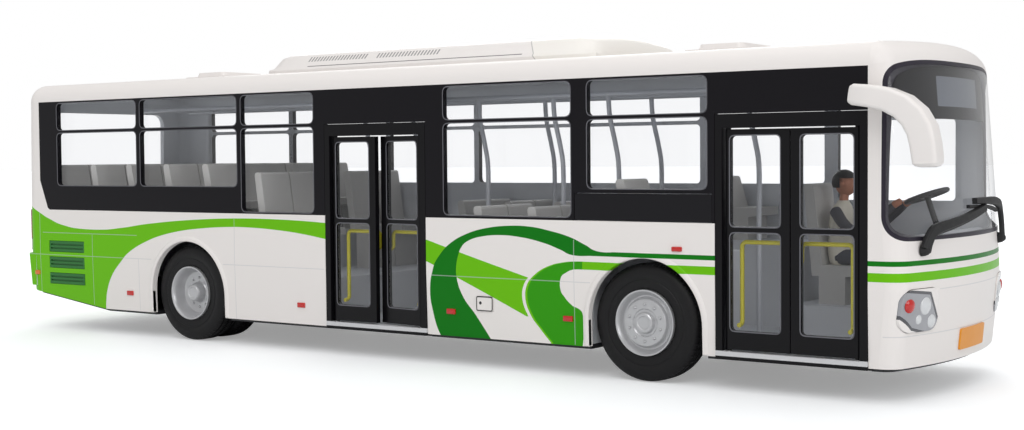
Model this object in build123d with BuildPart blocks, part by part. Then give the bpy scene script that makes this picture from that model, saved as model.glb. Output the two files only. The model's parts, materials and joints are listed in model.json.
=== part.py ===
from build123d import *
import os

os.makedirs("parts", exist_ok=True)

# Display model of a low-floor city bus at about 1:43, in millimetres.
# X points forward, Y to the vehicle's left and Z up. The origin is on the
# ground, under the middle of the overall box.

# Body casting
rear_x = -131.85
body_length = 259.4
front_x = rear_x + body_length
body_width = 58.6
side_y = body_width / 2
wall = 1.4
inner_y = side_y - wall
skirt_z = 6.6
roof_z = 67.9
roof_crown = 0.9
roof_edge_radius = 4.5
corner_radius = 4.0
front_bow = 4.6
rear_bow = 1.2
beyond = 12.0
fit = 0.1

# Levels of the body's form, from the skirt up: height, how far the nose and
# the tail stand back, and how far each side leans in.
form_levels = [
    (skirt_z, 1.4, 2.2, 0.4),
    (21.0, 0.0, 0.9, 0.0),
    (32.0, 0.5, 0.9, 0.0),
    (roof_z + 1.0, 3.4, 1.6, 0.0),
]
tail_sweep_rise = 4.6
bumper_proud = 0.9
rear_bumper_top = 20.7

# Wheels
front_overhang = 59.1
wheelbase = 134.1
front_axle_x = front_x - front_overhang
rear_axle_x = front_axle_x - wheelbase
rear_overhang = rear_axle_x - rear_x
tyre_radius = 12.2
tyre_width = 6.9
rim_radius = 6.9
tyre_inset = 1.6
axle_z = tyre_radius
arch_radius = 13.3
arch_offset = 0.6
twin_gap = 0.9
axle_rod_radius = 1.5
stub_radius = 1.2
running_gap = 0.06

# Places along the rear overhang, as drawn at its full 66.2 mm
overhang_stretch = rear_overhang / 66.2
tail_sweep_x = rear_x + 34.6 * overhang_stretch
bumper_reach = 6.0 * overhang_stretch

# Windows
band_z = 32.9
band_top = 62.5
vent_bar_z = 53.8
vent_bar_height = 0.9
window_top = 61.9
pane_corner = 1.0
pillar = 1.6
wide_pillar = 4.1
glass_thickness = 0.9

# Doors
front_door_end = front_x - 10.8
front_door_width = 31.5
front_door_start = front_door_end - front_door_width
mid_door_start = rear_axle_x + 48.1
mid_door_width = 30.4
mid_door_end = mid_door_start + mid_door_width
door_header_z = 54.4
door_post = 1.6
door_frame_depth = 2.3
door_sill_z = 6.1
sill_height = 1.7
leaf_bottom_z = 8.2
leaf_top_z = 51.3
leaf_thickness = 1.3
leaf_gap = 0.25
leaf_rail_z = 31.7

# Floors
plate_z = 5.9
plate_thickness = 1.0
floor_thickness = 0.9
floor_top = plate_z + plate_thickness + floor_thickness
rear_platform_z = 26.8
step_z = 17.4
saloon_y = inner_y - glass_thickness - fit


def wall_form(inset, low_z):
    """Walls of the body drawn in by inset, a ruled loft past the roof's height."""
    with BuildPart() as form:
        foot = [(low_z, *form_levels[0][1:])] if low_z < skirt_z else []
        for z, nose_back, tail_back, lean in foot + form_levels:
            half = side_y - lean - inset
            nose = front_x - nose_back - inset
            tail = rear_x + tail_back + inset
            with BuildSketch(Plane.XY.offset(z)) as section:
                with BuildLine():
                    Line((tail + rear_bow, half), (nose - front_bow, half))
                    ThreePointArc((nose - front_bow, half), (nose, 0), (nose - front_bow, -half))
                    Line((nose - front_bow, -half), (tail + rear_bow, -half))
                    ThreePointArc((tail + rear_bow, -half), (tail, 0), (tail + rear_bow, half))
                make_face()
                fillet(section.vertices(), corner_radius - inset)
        loft(ruled=True)
    return form.part


def body_form(inset, low_z):
    """Walls under the crowned roof, with the roof's edge rounded all the way round."""
    walls = wall_form(inset, low_z)
    with BuildPart() as form:
        add(walls)
        with BuildSketch(Plane.YZ.offset(rear_x - beyond)):
            with BuildLine():
                top = roof_z - inset
                Polyline((-side_y, top - roof_crown), (-side_y, low_z), (side_y, low_z),
                         (side_y, top - roof_crown))
                ThreePointArc((side_y, top - roof_crown), (0, top), (-side_y, top - roof_crown))
            make_face()
        extrude(amount=body_length + 2 * beyond, mode=Mode.INTERSECT)
        roof_face = form.faces().sort_by(Axis.Z)[-1]
        fillet(roof_face.edges(), roof_edge_radius - inset)
    return form.part


def skin(outer, inner):
    """Layer that follows the walls between two insets."""
    outside = wall_form(outer, skirt_z)
    inside = wall_form(inner, skirt_z - 1)
    with BuildPart() as layer:
        add(outside)
        add(inside, mode=Mode.SUBTRACT)
    return layer.part


outer_form = body_form(0, skirt_z)
inner_form = body_form(wall, skirt_z - 1)


def window_row(start, end, panes, pillars):
    """Windows that fill a bay: widths in proportion, pillars at their own widths.

    Each pane is its drawn width and its sill. Each window is start, end, sill.
    """
    stretch = (end - start - sum(pillars)) / sum(width for width, sill in panes)
    windows = []
    for (width, sill), gap in zip(panes, pillars + [0]):
        windows.append((start, start + width * stretch, sill))
        start += width * stretch + gap
    return windows


# Side windows, each with a sliding vent above its pane
rear_bay_start = rear_x + 16.0
mid_bay_start = mid_door_end + 5.2
right_windows = window_row(rear_bay_start, mid_door_start - 3.5,
                           [(32.2, 39.6), (35.4, 39.6), (24.0, 33.4)], [pillar, pillar])
right_windows += window_row(mid_bay_start, front_door_start - 1.7,
                            [(33.6, 33.6), (27.8, 39.6)], [wide_pillar])
left_windows = window_row(rear_bay_start, front_door_end - 3.0,
                          [(32.2, 39.6), (35.4, 39.6), (29.0, 39.6), (30.9, 39.6), (33.6, 39.6),
                           (27.8, 39.6), (26.9, 36.0)],
                          [pillar, pillar, pillar, pillar, wide_pillar, 3.3])
side_display = (right_windows[3][1] + 0.8, front_door_start - 0.6, band_z, 38.7)

screen_x = front_x - 7.5
screen_low = 30.9
screen_top = 63.2
screen_corner = 4.0
rear_window_half = 20.0
rear_window_low = 41.0
rear_window_top = 60.0


def screen_prism(margin):
    """Prism across the whole front that bounds the windscreen."""
    length = beyond + front_x - screen_x
    with BuildPart() as prism:
        with BuildSketch(Plane.XZ.offset(-side_y - beyond)):
            with Locations((screen_x + length / 2, (screen_low + screen_top) / 2)):
                RectangleRounded(length - 2 * margin, screen_top - screen_low - 2 * margin,
                                 screen_corner - margin)
        extrude(amount=body_width + 2 * beyond)
    return prism.part


def rear_prism(margin):
    """Prism through the tail that bounds the rear window."""
    with BuildPart() as prism:
        with BuildSketch(Plane.YZ.offset(rear_x - beyond)):
            with Locations((0, (rear_window_low + rear_window_top) / 2)):
                RectangleRounded(2 * (rear_window_half - margin),
                                 rear_window_top - rear_window_low - 2 * margin, 3.0 - margin)
        extrude(amount=beyond + 8)
    return prism.part


def nose_patches(layer, outlines):
    """Patches of a layer on the nose, outlined from the front: y0, y1, z0, z1, corner."""
    with BuildPart() as patches:
        with BuildSketch(Plane.YZ):
            for y0, y1, z0, z1, radius in outlines:
                with Locations(((y0 + y1) / 2, (z0 + z1) / 2)):
                    RectangleRounded(y1 - y0, z1 - z0, radius)
        extrude(amount=front_x + beyond)
        add(layer, mode=Mode.INTERSECT)
    return patches.part


def tail_patches(layer, outlines):
    """Patches of a layer on the tail, outlined as for the nose."""
    with BuildPart() as patches:
        with BuildSketch(Plane.YZ):
            for y0, y1, z0, z1, radius in outlines:
                with Locations(((y0 + y1) / 2, (z0 + z1) / 2)):
                    RectangleRounded(y1 - y0, z1 - z0, radius)
        extrude(amount=rear_x - beyond)
        add(layer, mode=Mode.INTERSECT)
    return patches.part


def both_sides(inner_edge, outer_edge, z0, z1, corner, margin=0.0):
    """Outlines of a mirrored pair of patches, drawn in by a margin."""
    return [(inner_edge + margin, outer_edge - margin, z0 + margin, z1 - margin, corner - margin),
            (-outer_edge + margin, -inner_edge - margin, z0 + margin, z1 - margin, corner - margin)]


# Lamps, each: inner edge, outer edge, low edge, high edge, corner radius
headlamp = (17.2, 28.4, 13.2, 21.4, 2.5)
tail_lamp = (25.2, 28.7, 21.4, 33.0, 0.8)
lamp_depth = 0.8
lamp_proud = 0.25
pocket_skin = skin(-1, lamp_depth)
lamp_skin = skin(-lamp_proud, lamp_depth - fit)
lamp_pockets = [nose_patches(pocket_skin, both_sides(*headlamp)),
                tail_patches(pocket_skin, both_sides(*tail_lamp))]
headlamp_pair = nose_patches(lamp_skin, both_sides(*headlamp, margin=fit))
tail_lamp_pair = tail_patches(lamp_skin, both_sides(*tail_lamp, margin=fit))

# Small side panels, each: start, end, low edge, high edge
fuel_flap_panel = (rear_axle_x + 92.4, rear_axle_x + 96.9, 12.6, 15.9)
grille_start = rear_x + 11.7 * overhang_stretch
grille_end = rear_x + 26.5 * overhang_stretch
grille_panels = [(grille_start, grille_end, z, z + 3.1) for z in (12.5, 16.9, 21.3)]
panel_depth = 0.8

engine_cover_outline = (-18.0, 18.0, 23.0, 37.0, 1.5)
engine_cover_pocket = tail_patches(pocket_skin, [engine_cover_outline])

# Body shell: a hollow casting with its window, door and wheel openings
screen_opening = screen_prism(0)
rear_opening = rear_prism(0)
with BuildPart() as body_shell:
    add(outer_form)
    add(inner_form, mode=Mode.SUBTRACT)
    for windows, plane_y in ((right_windows, inner_y - 1), (left_windows, -side_y - 1)):
        with BuildSketch(Plane.XZ.offset(plane_y)):
            for x0, x1, sill in windows:
                with Locations(((x0 + x1) / 2, (sill + vent_bar_z) / 2)):
                    RectangleRounded(x1 - x0, vent_bar_z - sill, pane_corner)
                vent_low = vent_bar_z + vent_bar_height
                with Locations(((x0 + x1) / 2, (vent_low + window_top) / 2)):
                    RectangleRounded(x1 - x0, window_top - vent_low, pane_corner)
        extrude(amount=wall + 2, mode=Mode.SUBTRACT)
    with BuildSketch(Plane.XZ.offset(inner_y - 1)):
        x0, x1, z0, z1 = side_display
        with Locations(((x0 + x1) / 2, (z0 + z1) / 2)):
            Rectangle(x1 - x0, z1 - z0)
        for x0, x1 in ((mid_door_start, mid_door_end), (front_door_start, front_door_end)):
            with Locations(((x0 + x1) / 2, door_header_z / 2)):
                Rectangle(x1 - x0, door_header_z)
    extrude(amount=wall + 2, mode=Mode.SUBTRACT)
    add(screen_opening, mode=Mode.SUBTRACT)
    add(rear_opening, mode=Mode.SUBTRACT)
    with BuildSketch(Plane.XZ.offset(-side_y - 1)):
        for axle_x in (front_axle_x, rear_axle_x):
            with Locations((axle_x + arch_offset, axle_z)):
                Circle(arch_radius)
            with Locations((axle_x + arch_offset, axle_z / 2)):
                Rectangle(2 * arch_radius, axle_z)
        with BuildLine():
            Polyline((tail_sweep_x, skirt_z), (rear_x - 1, skirt_z + tail_sweep_rise),
                     (rear_x - 1, 0), (tail_sweep_x, 0), close=True)
        make_face()
    extrude(amount=body_width + 2, mode=Mode.SUBTRACT)
    for pocket in lamp_pockets + [engine_cover_pocket]:
        add(pocket, mode=Mode.SUBTRACT)
    with BuildSketch(Plane.XZ.offset(side_y - panel_depth)):
        for x0, x1, z0, z1 in [fuel_flap_panel] + grille_panels:
            with Locations(((x0 + x1) / 2, (z0 + z1) / 2)):
                Rectangle(x1 - x0, z1 - z0)
    extrude(amount=panel_depth + 1, mode=Mode.SUBTRACT)
body_shell.part.label = "body_shell"
export_step(body_shell.part, "parts/body_shell.step")

with BuildPart() as headlamps:
    add(headlamp_pair)
headlamps.part.label = "headlamps"
export_step(headlamps.part, "parts/headlamps.step")

with BuildPart() as tail_lamps:
    add(tail_lamp_pair)
tail_lamps.part.label = "tail_lamps"
export_step(tail_lamps.part, "parts/tail_lamps.step")

# Fuel flap and louvred grilles, set in pockets of the right side
with BuildPart() as fuel_flap:
    x0, x1, z0, z1 = fuel_flap_panel
    with BuildSketch(Plane.XZ.offset(side_y - panel_depth)):
        with Locations(((x0 + x1) / 2, (z0 + z1) / 2)):
            Rectangle(x1 - x0 - 2 * fit, z1 - z0 - 2 * fit)
    extrude(amount=panel_depth)
fuel_flap.part.label = "fuel_flap"
export_step(fuel_flap.part, "parts/fuel_flap.step")

slat_pitch = 1.0
slat_groove = 0.45
with BuildPart() as side_grilles:
    with BuildSketch(Plane.XZ.offset(side_y - panel_depth)):
        for x0, x1, z0, z1 in grille_panels:
            with Locations(((x0 + x1) / 2, (z0 + z1) / 2)):
                Rectangle(x1 - x0 - 2 * fit, z1 - z0 - 2 * fit)
    extrude(amount=panel_depth - 0.1)
    with BuildSketch(Plane.XZ.offset(side_y - 0.45)):
        for x0, x1, z0, z1 in grille_panels:
            with Locations(((x0 + x1) / 2, (z0 + z1) / 2)):
                with GridLocations(0, slat_pitch, 1, int((z1 - z0 - 0.6) / slat_pitch)):
                    Rectangle(x1 - x0 - 1.2, slat_groove)
    extrude(amount=1, mode=Mode.SUBTRACT)
side_grilles.part.label = "side_grilles"
export_step(side_grilles.part, "parts/side_grilles.step")

# Glazing
glass_skin = skin(0, glass_thickness)
screen_bound = screen_prism(fit)
rear_bound = rear_prism(fit)
with BuildPart() as windscreen:
    add(glass_skin)
    add(screen_bound, mode=Mode.INTERSECT)
windscreen.part.label = "windscreen"
export_step(windscreen.part, "parts/windscreen.step")

with BuildPart() as rear_window:
    add(glass_skin)
    add(rear_bound, mode=Mode.INTERSECT)
rear_window.part.label = "rear_window"
export_step(rear_window.part, "parts/rear_window.step")

glass_lap = 1.4
glazing_top = window_top + 0.5


def glazing(plane_y, spans):
    """Clear strips behind the side windows: start, end and sill of each."""
    with BuildPart() as strips:
        with BuildSketch(Plane.XZ.offset(plane_y)):
            for x0, x1, sill in spans:
                with Locations(((x0 + x1) / 2, (sill + glazing_top) / 2)):
                    Rectangle(x1 - x0, glazing_top - sill)
        extrude(amount=glass_thickness)
    return strips.part


strips_right = glazing(inner_y - glass_thickness, [
    (right_windows[0][0] - glass_lap, right_windows[2][1] + glass_lap, right_windows[2][2] - glass_lap),
    (right_windows[3][0] - glass_lap, right_windows[4][1] + 0.9, side_display[3] - fit - 5.4),
])
strips_left = glazing(-inner_y, [
    (left_windows[0][0] - glass_lap, left_windows[6][1] + glass_lap, left_windows[6][2] - glass_lap),
])
with BuildPart() as glazing_right:
    add(strips_right)
glazing_right.part.label = "glazing_right"
export_step(glazing_right.part, "parts/glazing_right.step")

with BuildPart() as glazing_left:
    add(strips_left)
glazing_left.part.label = "glazing_left"
export_step(glazing_left.part, "parts/glazing_left.step")

# Route displays: a blank side panel in its opening and a header behind the screen
with BuildPart() as display_side:
    x0, x1, z0, z1 = side_display
    with BuildSketch(Plane.XZ.offset(inner_y)):
        with Locations(((x0 + x1) / 2, (z0 + z1) / 2)):
            Rectangle(x1 - x0 - 2 * fit, z1 - z0 - 2 * fit)
    extrude(amount=wall - 0.1)
display_side.part.label = "display_side"
export_step(display_side.part, "parts/display_side.step")

header_low = 52.9
header_skin = skin(glass_thickness + 0.15, glass_thickness + 1.05)
with BuildPart() as display_front:
    add(screen_bound)
    with BuildSketch(Plane.XY.offset(header_low)):
        with Locations((front_x, 0)):
            Rectangle(2 * beyond, body_width + 2)
    extrude(amount=beyond, mode=Mode.INTERSECT)
    add(header_skin, mode=Mode.INTERSECT)
display_front.part.label = "display_front"
export_step(display_front.part, "parts/display_front.step")

# Doors: a black frame in each opening and two leaves hinged at its posts
pin_radius = 0.45
pin_length = 1.0
pin_gap = 0.12
leaf_inset = 0.7
leaf_y = -(side_y - leaf_inset - leaf_thickness / 2)


def hinge_x(start, end, direction):
    """Place of a leaf's pivot beside the rear (1) or front (-1) post."""
    offset = door_post + leaf_gap + leaf_thickness / 2
    return start + offset if direction > 0 else end - offset


def leaf_length(start, end):
    """Pivot to free edge of one of the two equal leaves."""
    return (end - start) / 2 - door_post - 1.5 * leaf_gap - leaf_thickness / 2


def door_frame_part(start, end):
    with BuildPart() as frame:
        with BuildSketch(Plane.XZ.offset(side_y - door_frame_depth)):
            with Locations(((start + end) / 2, (door_sill_z + door_header_z) / 2)):
                Rectangle(end - start - 2 * fit, door_header_z - door_sill_z - 2 * fit)
            low = door_sill_z + sill_height
            high = leaf_top_z + leaf_gap
            with Locations(((start + end) / 2, (low + high) / 2)):
                Rectangle(end - start - 2 * door_post, high - low, mode=Mode.SUBTRACT)
        extrude(amount=door_frame_depth)
        for direction in (1, -1):
            for z in (low - pin_length, high):
                with BuildSketch(Plane.XY.offset(z)):
                    with Locations((hinge_x(start, end, direction), leaf_y)):
                        Circle(pin_radius + pin_gap)
                extrude(amount=pin_length, mode=Mode.SUBTRACT)
    return frame.part


frame_mid_part = door_frame_part(mid_door_start, mid_door_end)
frame_front_part = door_frame_part(front_door_start, front_door_end)
with BuildPart() as door_frame_mid:
    add(frame_mid_part)
door_frame_mid.part.label = "door_frame_mid"
export_step(door_frame_mid.part, "parts/door_frame_mid.step")

with BuildPart() as door_frame_front:
    add(frame_front_part)
door_frame_front.part.label = "door_frame_front"
export_step(door_frame_front.part, "parts/door_frame_front.step")

hinge_stile = 1.2
free_stile = 2.0
pane_low_z = 11.9
pane_top_z = 50.0
mid_rail = 1.3
pane_thickness = 0.8
rail_tube = 0.45
rail_stand_off = 1.5
rail_bend = 1.0
leaves = [
    # name, opening start, opening end, direction from the pivot, degrees ajar
    ("door_mid_rear", mid_door_start, mid_door_end, 1, 0),
    ("door_mid_front", mid_door_start, mid_door_end, -1, 8),
    ("door_front_rear", front_door_start, front_door_end, 1, 0),
    ("door_front_front", front_door_start, front_door_end, -1, 0),
]

for name, start, end, direction, ajar in leaves:
    pivot = Vector(hinge_x(start, end, direction), leaf_y, 0)
    along = Vector(direction, 0, 0).rotate(Axis.Z, direction * ajar)
    inward = Vector(0, 1, 0).rotate(Axis.Z, direction * ajar)
    length = leaf_length(start, end)
    plan_plane = Plane(origin=pivot, x_dir=along, z_dir=(0, 0, 1))
    face_plane = Plane(origin=pivot, x_dir=along, z_dir=inward * -direction)
    panes = [(pane_low_z, leaf_rail_z - mid_rail / 2), (leaf_rail_z + mid_rail / 2, pane_top_z)]
    pane_x0 = hinge_stile - leaf_thickness / 2
    pane_x1 = length - free_stile

    with BuildPart() as leaf:
        with BuildSketch(plan_plane.offset(leaf_bottom_z)):
            with Locations((length / 2, 0)):
                Rectangle(length, leaf_thickness)
            Circle(leaf_thickness / 2)
        extrude(amount=leaf_top_z - leaf_bottom_z)
        with BuildSketch(plan_plane.offset(leaf_bottom_z - leaf_gap - 0.7)):
            Circle(pin_radius)
        extrude(amount=leaf_top_z - leaf_bottom_z + 2 * (leaf_gap + 0.7))
        with BuildSketch(face_plane):
            for z0, z1 in panes:
                with Locations(((pane_x0 + pane_x1) / 2, (z0 + z1) / 2)):
                    RectangleRounded(pane_x1 - pane_x0, z1 - z0, 0.8)
        extrude(amount=leaf_thickness, both=True, mode=Mode.SUBTRACT)
    leaf.part.label = name + "_leaf"
    export_step(leaf.part, "parts/" + name + "_leaf.step")

    with BuildPart() as pane:
        with BuildSketch(face_plane):
            for z0, z1 in panes:
                with Locations(((pane_x0 + pane_x1) / 2, (z0 + z1) / 2)):
                    RectangleRounded(pane_x1 - pane_x0 - 2 * fit, z1 - z0 - 2 * fit, 0.8 - fit)
        extrude(amount=pane_thickness / 2, both=True)
    pane.part.label = name + "_glass"
    export_step(pane.part, "parts/" + name + "_glass.step")

    def leaf_point(distance, depth, z):
        return pivot + along * distance + inward * depth + Vector(0, 0, z)

    face = leaf_thickness / 2
    deep = face + rail_stand_off
    near = pane_x0 + 1.2
    far = length - free_stile / 2
    with BuildPart() as rail:
        with BuildLine() as path:
            FilletPolyline(leaf_point(near, face, pane_low_z + 1), leaf_point(near, deep, pane_low_z + 1),
                           leaf_point(near, deep, leaf_rail_z - 2.5),
                           leaf_point(far, deep, leaf_rail_z - 2.5),
                           leaf_point(far, deep, leaf_rail_z - 6.5),
                           leaf_point(far, face, leaf_rail_z - 6.5), radius=rail_bend)
        with BuildSketch(Plane(origin=path.line @ 0, z_dir=path.line % 0)):
            Circle(rail_tube)
        sweep()
    rail.part.label = name + "_rail"
    export_step(rail.part, "parts/" + name + "_rail.step")

# Wheels
tyre_y = side_y - tyre_inset


def tyre_solids(axle_x, outer_faces):
    """Tyres on one axle: the y of each one's outer face, its sign the side."""
    with BuildPart() as tyres:
        with BuildSketch(Plane(origin=(axle_x, 0, axle_z), x_dir=(0, 1, 0), z_dir=(1, 0, 0))):
            for outer in outer_faces:
                middle = outer - tyre_width / 2 if outer > 0 else outer + tyre_width / 2
                with BuildSketch(mode=Mode.PRIVATE) as section:
                    with Locations((middle, (rim_radius + tyre_radius) / 2)):
                        Rectangle(tyre_width, tyre_radius - rim_radius)
                    fillet(section.vertices().group_by(Axis.Y)[-1], 1.5)
                    fillet(section.vertices().group_by(Axis.Y)[0], 0.5)
                add(section.sketch)
        revolve(axis=Axis((axle_x, 0, axle_z), (0, 1, 0)))
    return tyres.part


rim_lip = 0.6
disc_inset = 1.3
disc_thickness = 1.0
hub_radius = 2.3
hand_hole_ring = 4.6
hand_hole_radius = 0.62
hand_holes = 10


def rim_solid(axle_x, side, outer, inner, hub_proud, bore, bore_depth):
    """Rim: barrel, dished disc with hand holes, and a hub with a blind bore."""
    middle = rim_radius - fit
    with BuildPart() as rim:
        with BuildSketch(Plane(origin=(axle_x, 0, axle_z), x_dir=(0, side, 0), z_dir=(side, 0, 0))):
            with BuildLine():
                disc = outer - disc_inset
                Polyline((inner, middle - rim_lip), (inner, middle), (outer + 0.3, middle),
                         (outer + 0.3, middle - 0.3), (outer - 0.2, middle - rim_lip),
                         (disc, middle - rim_lip - 0.5), (disc, hub_radius + 0.5),
                         (outer + hub_proud - 0.4, hub_radius - 0.1),
                         (outer + hub_proud, hub_radius - 0.6), (outer + hub_proud, 0),
                         (outer + hub_proud - bore_depth, 0),
                         (outer + hub_proud - bore_depth, bore),
                         (inner, bore), (inner, hub_radius),
                         (disc - disc_thickness, hub_radius + 0.5),
                         (disc - disc_thickness, middle - rim_lip), close=True)
            make_face()
        revolve(axis=Axis((axle_x, 0, axle_z), (0, 1, 0)))
        with BuildSketch(Plane(origin=(axle_x, side * (outer - disc_inset + 0.5), axle_z),
                               x_dir=(1, 0, 0), z_dir=(0, side, 0))):
            with PolarLocations(hand_hole_ring, hand_holes):
                Circle(hand_hole_radius)
        extrude(amount=-disc_thickness - 1, mode=Mode.SUBTRACT)
    return rim.part


for side, side_name in ((-1, "right"), (1, "left")):
    front_tyre_part = tyre_solids(front_axle_x, [side * tyre_y])
    front_rim_part = rim_solid(front_axle_x, side, tyre_y, tyre_y - tyre_width, 0.2,
                               stub_radius + running_gap, 2.4)
    with BuildPart() as front_tyre:
        add(front_tyre_part)
    front_tyre.part.label = "front_tyre_" + side_name
    export_step(front_tyre.part, "parts/front_tyre_" + side_name + ".step")
    with BuildPart() as front_rim:
        add(front_rim_part)
    front_rim.part.label = "front_rim_" + side_name
    export_step(front_rim.part, "parts/front_rim_" + side_name + ".step")

twin_y = tyre_y - tyre_width - twin_gap
rear_tyre_parts = tyre_solids(rear_axle_x, [-tyre_y, tyre_y, -twin_y, twin_y])
rear_rim_parts = [rim_solid(rear_axle_x, side, tyre_y, twin_y - tyre_width, 0.2,
                            axle_rod_radius + fit / 2, 2.4) for side in (-1, 1)]
with BuildPart() as rear_tyres:
    add(rear_tyre_parts)
rear_tyres.part.label = "rear_tyres"
export_step(rear_tyres.part, "parts/rear_tyres.step")

with BuildPart() as rear_rims:
    for rim_part in rear_rim_parts:
        add(rim_part)
rear_rims.part.label = "rear_rims"
export_step(rear_rims.part, "parts/rear_rims.step")

with BuildPart() as rear_axle:
    with BuildSketch(Plane.XZ.offset(-(tyre_y + 0.2 - 2.4 - fit))):
        with Locations((rear_axle_x, axle_z)):
            Circle(axle_rod_radius)
    extrude(amount=2 * (tyre_y + 0.2 - 2.4 - fit))
rear_axle.part.label = "rear_axle"
export_step(rear_axle.part, "parts/rear_axle.step")

# Underside: a dropped front axle beam, and a base plate with the rear saddles
plate_y = inner_y - form_levels[0][3] - fit
wheel_pocket_radius = arch_radius + 0.4
front_pocket_y = tyre_y - tyre_width - 4.4
rear_pocket_y = twin_y - tyre_width - 1.2
beam_half = 2.2
beam_thickness = 0.9
knuckle_thickness = 1.6
knuckle_y = front_pocket_y + 0.3
with BuildPart() as front_axle:
    with Locations((front_axle_x, 0, plate_z - beam_thickness / 2)):
        Box(2 * beam_half, 2 * (knuckle_y + knuckle_thickness), beam_thickness)
    for side in (-1, 1):
        with Locations((front_axle_x, side * (knuckle_y + knuckle_thickness / 2),
                        (plate_z - beam_thickness + axle_z + beam_half) / 2)):
            Box(2 * beam_half, knuckle_thickness, axle_z + beam_half - plate_z + beam_thickness)
    stub_end = tyre_y + 0.2 - 2.4 - fit
    with BuildSketch(Plane.XZ.offset(-stub_end)):
        with Locations((front_axle_x, axle_z)):
            Circle(stub_radius)
    extrude(amount=stub_end - knuckle_y - fit)
    with BuildSketch(Plane.XZ.offset(stub_end)):
        with Locations((front_axle_x, axle_z)):
            Circle(stub_radius)
    extrude(amount=-(stub_end - knuckle_y - fit))
front_axle.part.label = "front_axle"
export_step(front_axle.part, "parts/front_axle.step")

plate_bound = wall_form(wall + fit, plate_z - 2)
screw_hole_radius = 1.3
screw_x = (-38.0, 100.0)
saddle_y = 9.0
saddle_width = 2.2
with BuildPart() as chassis_plate:
    with BuildSketch(Plane.XZ.offset(-plate_y)):
        with BuildLine():
            rise = tail_sweep_rise * (tail_sweep_x - rear_x - 2) / (tail_sweep_x - rear_x + 1)
            Polyline((front_x, plate_z), (tail_sweep_x, plate_z), (rear_x + 2, plate_z + rise),
                     (rear_x + 2, plate_z + plate_thickness + rise),
                     (tail_sweep_x, plate_z + plate_thickness), (front_x, plate_z + plate_thickness),
                     close=True)
        make_face()
    extrude(amount=2 * plate_y)
    for axle_x, pocket_y in ((front_axle_x, front_pocket_y), (rear_axle_x, rear_pocket_y)):
        for side in (-1, 1):
            with Locations((axle_x + arch_offset, side * (pocket_y + side_y) / 2, plate_z)):
                Box(2 * wheel_pocket_radius, side_y - pocket_y, 6, mode=Mode.SUBTRACT)
    for start, end in ((mid_door_start, mid_door_end), (front_door_start, front_door_end)):
        with Locations(((start + end) / 2, -side_y, plate_z)):
            Box(end - start, 2 * (door_frame_depth + fit), 6, mode=Mode.SUBTRACT)
    for side in (-1, 1):
        with Locations((rear_axle_x, side * saddle_y, (plate_z + axle_z + 3) / 2)):
            Box(7, saddle_width, axle_z + 3 - plate_z)
    with BuildSketch(Plane.XZ.offset(-side_y)):
        with Locations((rear_axle_x, axle_z)):
            Circle(axle_rod_radius + running_gap)
    extrude(amount=body_width, mode=Mode.SUBTRACT)
    with BuildSketch(Plane.XY.offset(plate_z - 1)):
        with Locations(*[(x, 0) for x in screw_x]):
            Circle(screw_hole_radius)
    extrude(amount=plate_thickness + 2, mode=Mode.SUBTRACT)
    add(plate_bound, mode=Mode.INTERSECT)
chassis_plate.part.label = "chassis_plate"
export_step(chassis_plate.part, "parts/chassis_plate.step")

# Interior tub: low floor with wheel boxes, a step and the rear platform
saloon_bound = wall_form(wall + glass_thickness + fit, plate_z - 2)
platform_x = rear_axle_x + 20.5
step_x = mid_door_start - 3.0
platform_thickness = 1.1
box_wall = 1.0
wheel_box_z = 26.9
driver_x0 = front_axle_x + 17.0
driver_y0 = 5.0
driver_floor_z = 14.0
floor_z = plate_z + plate_thickness
with BuildPart() as interior_tub:
    with Locations(((platform_x + front_x) / 2, 0, floor_z + floor_thickness / 2)):
        Box(front_x - platform_x, body_width, floor_thickness)
    with Locations(((rear_x + platform_x) / 2, 0, rear_platform_z - platform_thickness / 2)):
        Box(platform_x - rear_x, body_width, platform_thickness)
    with Locations((platform_x - box_wall / 2, 0, (floor_z + rear_platform_z) / 2)):
        Box(box_wall, body_width, rear_platform_z - floor_z)
    with Locations(((platform_x + step_x) / 2, 0, (floor_z + step_z) / 2)):
        Box(step_x - platform_x, body_width, step_z - floor_z)
    for side in (-1, 1):
        with Locations((front_axle_x + arch_offset, side * (front_pocket_y - box_wall + side_y) / 2,
                        (floor_z + wheel_box_z) / 2)):
            Box(2 * (wheel_pocket_radius + box_wall), side_y - front_pocket_y + box_wall,
                wheel_box_z - floor_z)
    for side in (-1, 1):
        with Locations((front_axle_x + arch_offset, side * (front_pocket_y + side_y) / 2,
                        (wheel_box_z - box_wall) / 2)):
            Box(2 * wheel_pocket_radius, side_y - front_pocket_y, wheel_box_z - box_wall,
                mode=Mode.SUBTRACT)
    with Locations(((driver_x0 + front_x) / 2, (driver_y0 + side_y) / 2, (floor_z + driver_floor_z) / 2)):
        Box(front_x - driver_x0, side_y - driver_y0, driver_floor_z - floor_z)
    add(saloon_bound, mode=Mode.INTERSECT)
interior_tub.part.label = "interior_tub"
export_step(interior_tub.part, "parts/interior_tub.step")

# Seats: high-backed, in rows that stand on the floor, the step or the platform
seat_width = 9.8
seat_gap = 0.5
seat_wall_gap = 0.4
seat_front = saloon_y - seat_wall_gap - seat_width / 2
seat_aisle = seat_front - seat_width - seat_gap


def seat_row(x, base, top, places):
    """Seats of one row: x of the back's foot, floor height, top of the backs, y of each seat."""
    cushion = base + 0.36 * (top - base)
    with BuildPart() as row:
        for y in places:
            with BuildSketch(Plane.XZ.offset(-y - seat_width / 2)) as profile:
                with BuildLine():
                    Polyline((x + 1.6, base), (x + 6.4, base), (x + 6.4, cushion),
                             (x + 9.2, cushion + 0.4), (x + 9.2, cushion + 2.2),
                             (x + 1.6, cushion + 2.2), (x - 0.6, top), (x - 2.8, top),
                             (x - 0.4, cushion), (x + 1.6, cushion), close=True)
                make_face()
                fillet(profile.vertices().group_by(Axis.Y)[-1], 0.8)
            extrude(amount=seat_width)
    return row.part


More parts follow.
